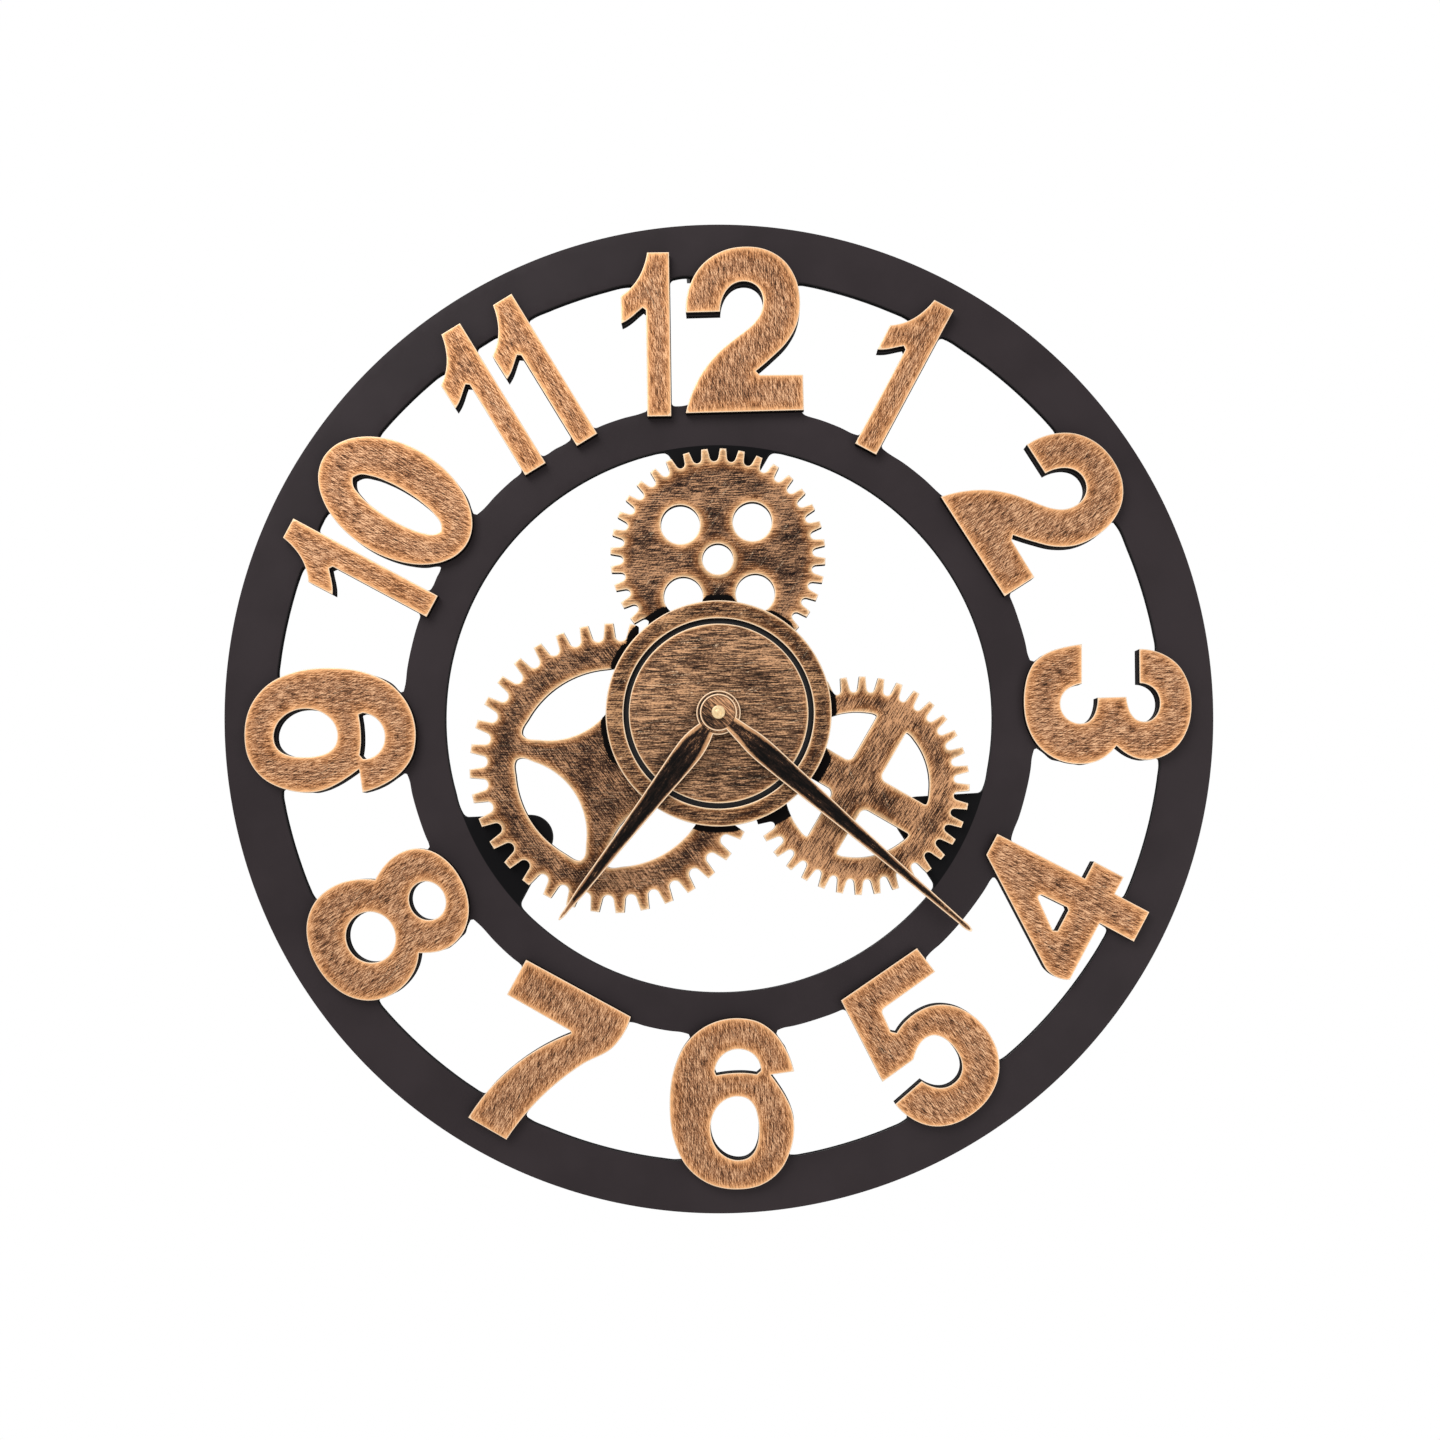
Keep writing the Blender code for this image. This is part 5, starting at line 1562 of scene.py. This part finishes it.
    def build(self) -> None:
        """Builds the detailed pieces and dresses the solids that stay."""
        self._softened("movement_case", "case_plastic", DARK_PLASTIC)
        self._cell()
        Maker.settled(self._knob_grip(), DARK_PLASTIC, "case_plastic", body="setting_group")
        Maker.settled(self._spring(), STEEL, "steel", "contact_minus")
        Maker.settled(self._cover_grip(), DARK_PLASTIC, "case_plastic")
        stays = {
            DARK_PLASTIC: "rear_cover setting_knob",
            PALE_PLASTIC: "train_plate third_wheel motion_wheel hour_wheel",
            STEEL: "contact_plus minute_arbor rotor stator quartz_crystal",
            BRASS: "dial_nut dial_washer",
            RUBBER: "gasket",
            WoundWire(): "coil",
            Laminate(): "circuit_board",
        }
        for finish, nodes in stays.items():
            for node in nodes.split():
                Maker.kept(node, finish)


@dataclass
class WallFixing:
    """The bent hanger with its keyhole and the two grooved rubber buffers."""

    buffer_side: float = 246.5
    buffer_height: float = -430.3
    buffer_radius: float = 6.0
    groove: float = 0.5

    def build(self) -> None:
        """Builds and dresses the fixing."""
        Maker.kept("wall_hanger", HANGER_ENAMEL)
        radius, inner = self.buffer_radius, self.buffer_radius - self.groove
        profile = [
            (0.0, -13.7), (radius, -13.7), (radius, -11.4), (inner, -10.9), (inner, -9.9), (radius, -9.4),
            (radius, -7.2), (inner, -6.7), (inner, -5.7), (radius, -5.2), *rounded(radius, -4.0, 0.0, 1.2, 6)[7:],
            (2.2, 0.0), (1.7, -0.6), (0.0, -0.6),
        ]
        for node, x in (("wall_buffer_left", -self.buffer_side), ("wall_buffer_right", self.buffer_side)):
            piece = Lathe(profile).build(node + "_turned", x, self.buffer_height)
            Maker.settled(piece, RUBBER, "rubber", node)


@dataclass
class Studio:
    """Pale floor, soft panels and the camera at the photograph's angle. Lengths here are metres."""

    camera_place: Triple = (0.0128, -1.010, -0.3614)
    sensor_width: float = 36.0
    view_width: float = 0.8733
    view_distance: float = 0.990
    shift: tuple[float, float] = (-20 / 1440, 120 / 1440)
    floor_height: float = -1.35
    floor_reach: tuple[float, float, float] = (2.5, -2.2, 1.0)
    ambient: float = 0.62
    panels: tuple[tuple[Triple, float, float], ...] = (
        ((-0.9, -1.7, 1.0), 1.3, 26.0),
        ((1.1, -1.9, -0.7), 1.2, 9.0),
        ((-0.7, 1.9, 0.9), 1.4, 22.0),
    )

    def _backdrop(self) -> None:
        """Sets white all round for the camera, and a softer light for everything else."""
        world = bpy.data.worlds.new("studio")
        bpy.context.scene.world = world
        world.use_nodes = True
        world.node_tree.nodes.clear()
        tree = NodeTree(world.node_tree)
        light, white = (
            tree.node("Background", None, {"Color": (1, 1, 1), "Strength": power}) for power in (self.ambient, 1.0)
        )
        seen = tree.node("LightPath", output="Is Camera Ray")
        mix = tree.node("MixShader", None, {0: seen, 1: light, 2: white})
        tree.feed(world.node_tree.nodes.new("ShaderNodeOutputWorld").inputs[0], mix)

    def _floor(self) -> None:
        """Lays the pale floor."""
        (side, near, far), z = self.floor_reach, self.floor_height
        corners = np.array([(-side, near, z), (side, near, z), (side, far, z), (-side, far, z)])
        floor = Maker.piece("studio_floor", corners, [[0, 1, 2, 3]])
        shader = Shader("pale_floor")
        fine = shader.noise(shader.place(), 0.05, 0.0, 3.0)
        colour = shader.mix(fine, shade(226, 224, 220), shade(236, 235, 232))
        floor.data.materials.append(shader.dress(fine, 0.05, Base_Color=colour, Roughness=0.7))

    def _panels(self) -> None:
        """Hangs soft square panels aimed at the dial."""
        target = Vector((0, 0, CENTRE_HEIGHT))
        for number, (place, side, power) in enumerate(self.panels):
            data = bpy.data.lights.new(f"panel_{number}", "AREA")
            data.shape, data.size, data.energy = "SQUARE", side, power
            light = linked(data.name, data)
            light.location = place
            light.rotation_euler = (target - Vector(place)).to_track_quat("-Z", "Y").to_euler()
            light.visible_camera = False

    def _camera(self) -> None:
        """Sets up the camera, level and square to the dial."""
        data = bpy.data.cameras.new("camera")
        data.sensor_width = self.sensor_width
        data.lens = self.sensor_width * self.view_distance / self.view_width
        data.shift_x, data.shift_y = self.shift
        camera = linked("camera", data)
        camera.location = self.camera_place
        camera.rotation_euler = (QUARTER, 0, 0)
        bpy.context.scene.camera = camera

    def build(self) -> None:
        """Sets up the studio."""
        self._backdrop()
        self._floor()
        self._panels()
        self._camera()
        bpy.context.scene.view_settings.view_transform = "Standard"


def main() -> None:
    """Builds the clock's looks in the studio."""
    logging.basicConfig(level=logging.INFO, format="%(message)s")
    for kind in (Studio, Board, NumberPlates, GearPlates, Hub, Hands, Screws, Movement, WallFixing):
        part = kind()
        part.build()
        LOG.info("%s done", type(part).__name__)


if __name__ == "__main__":
    main()
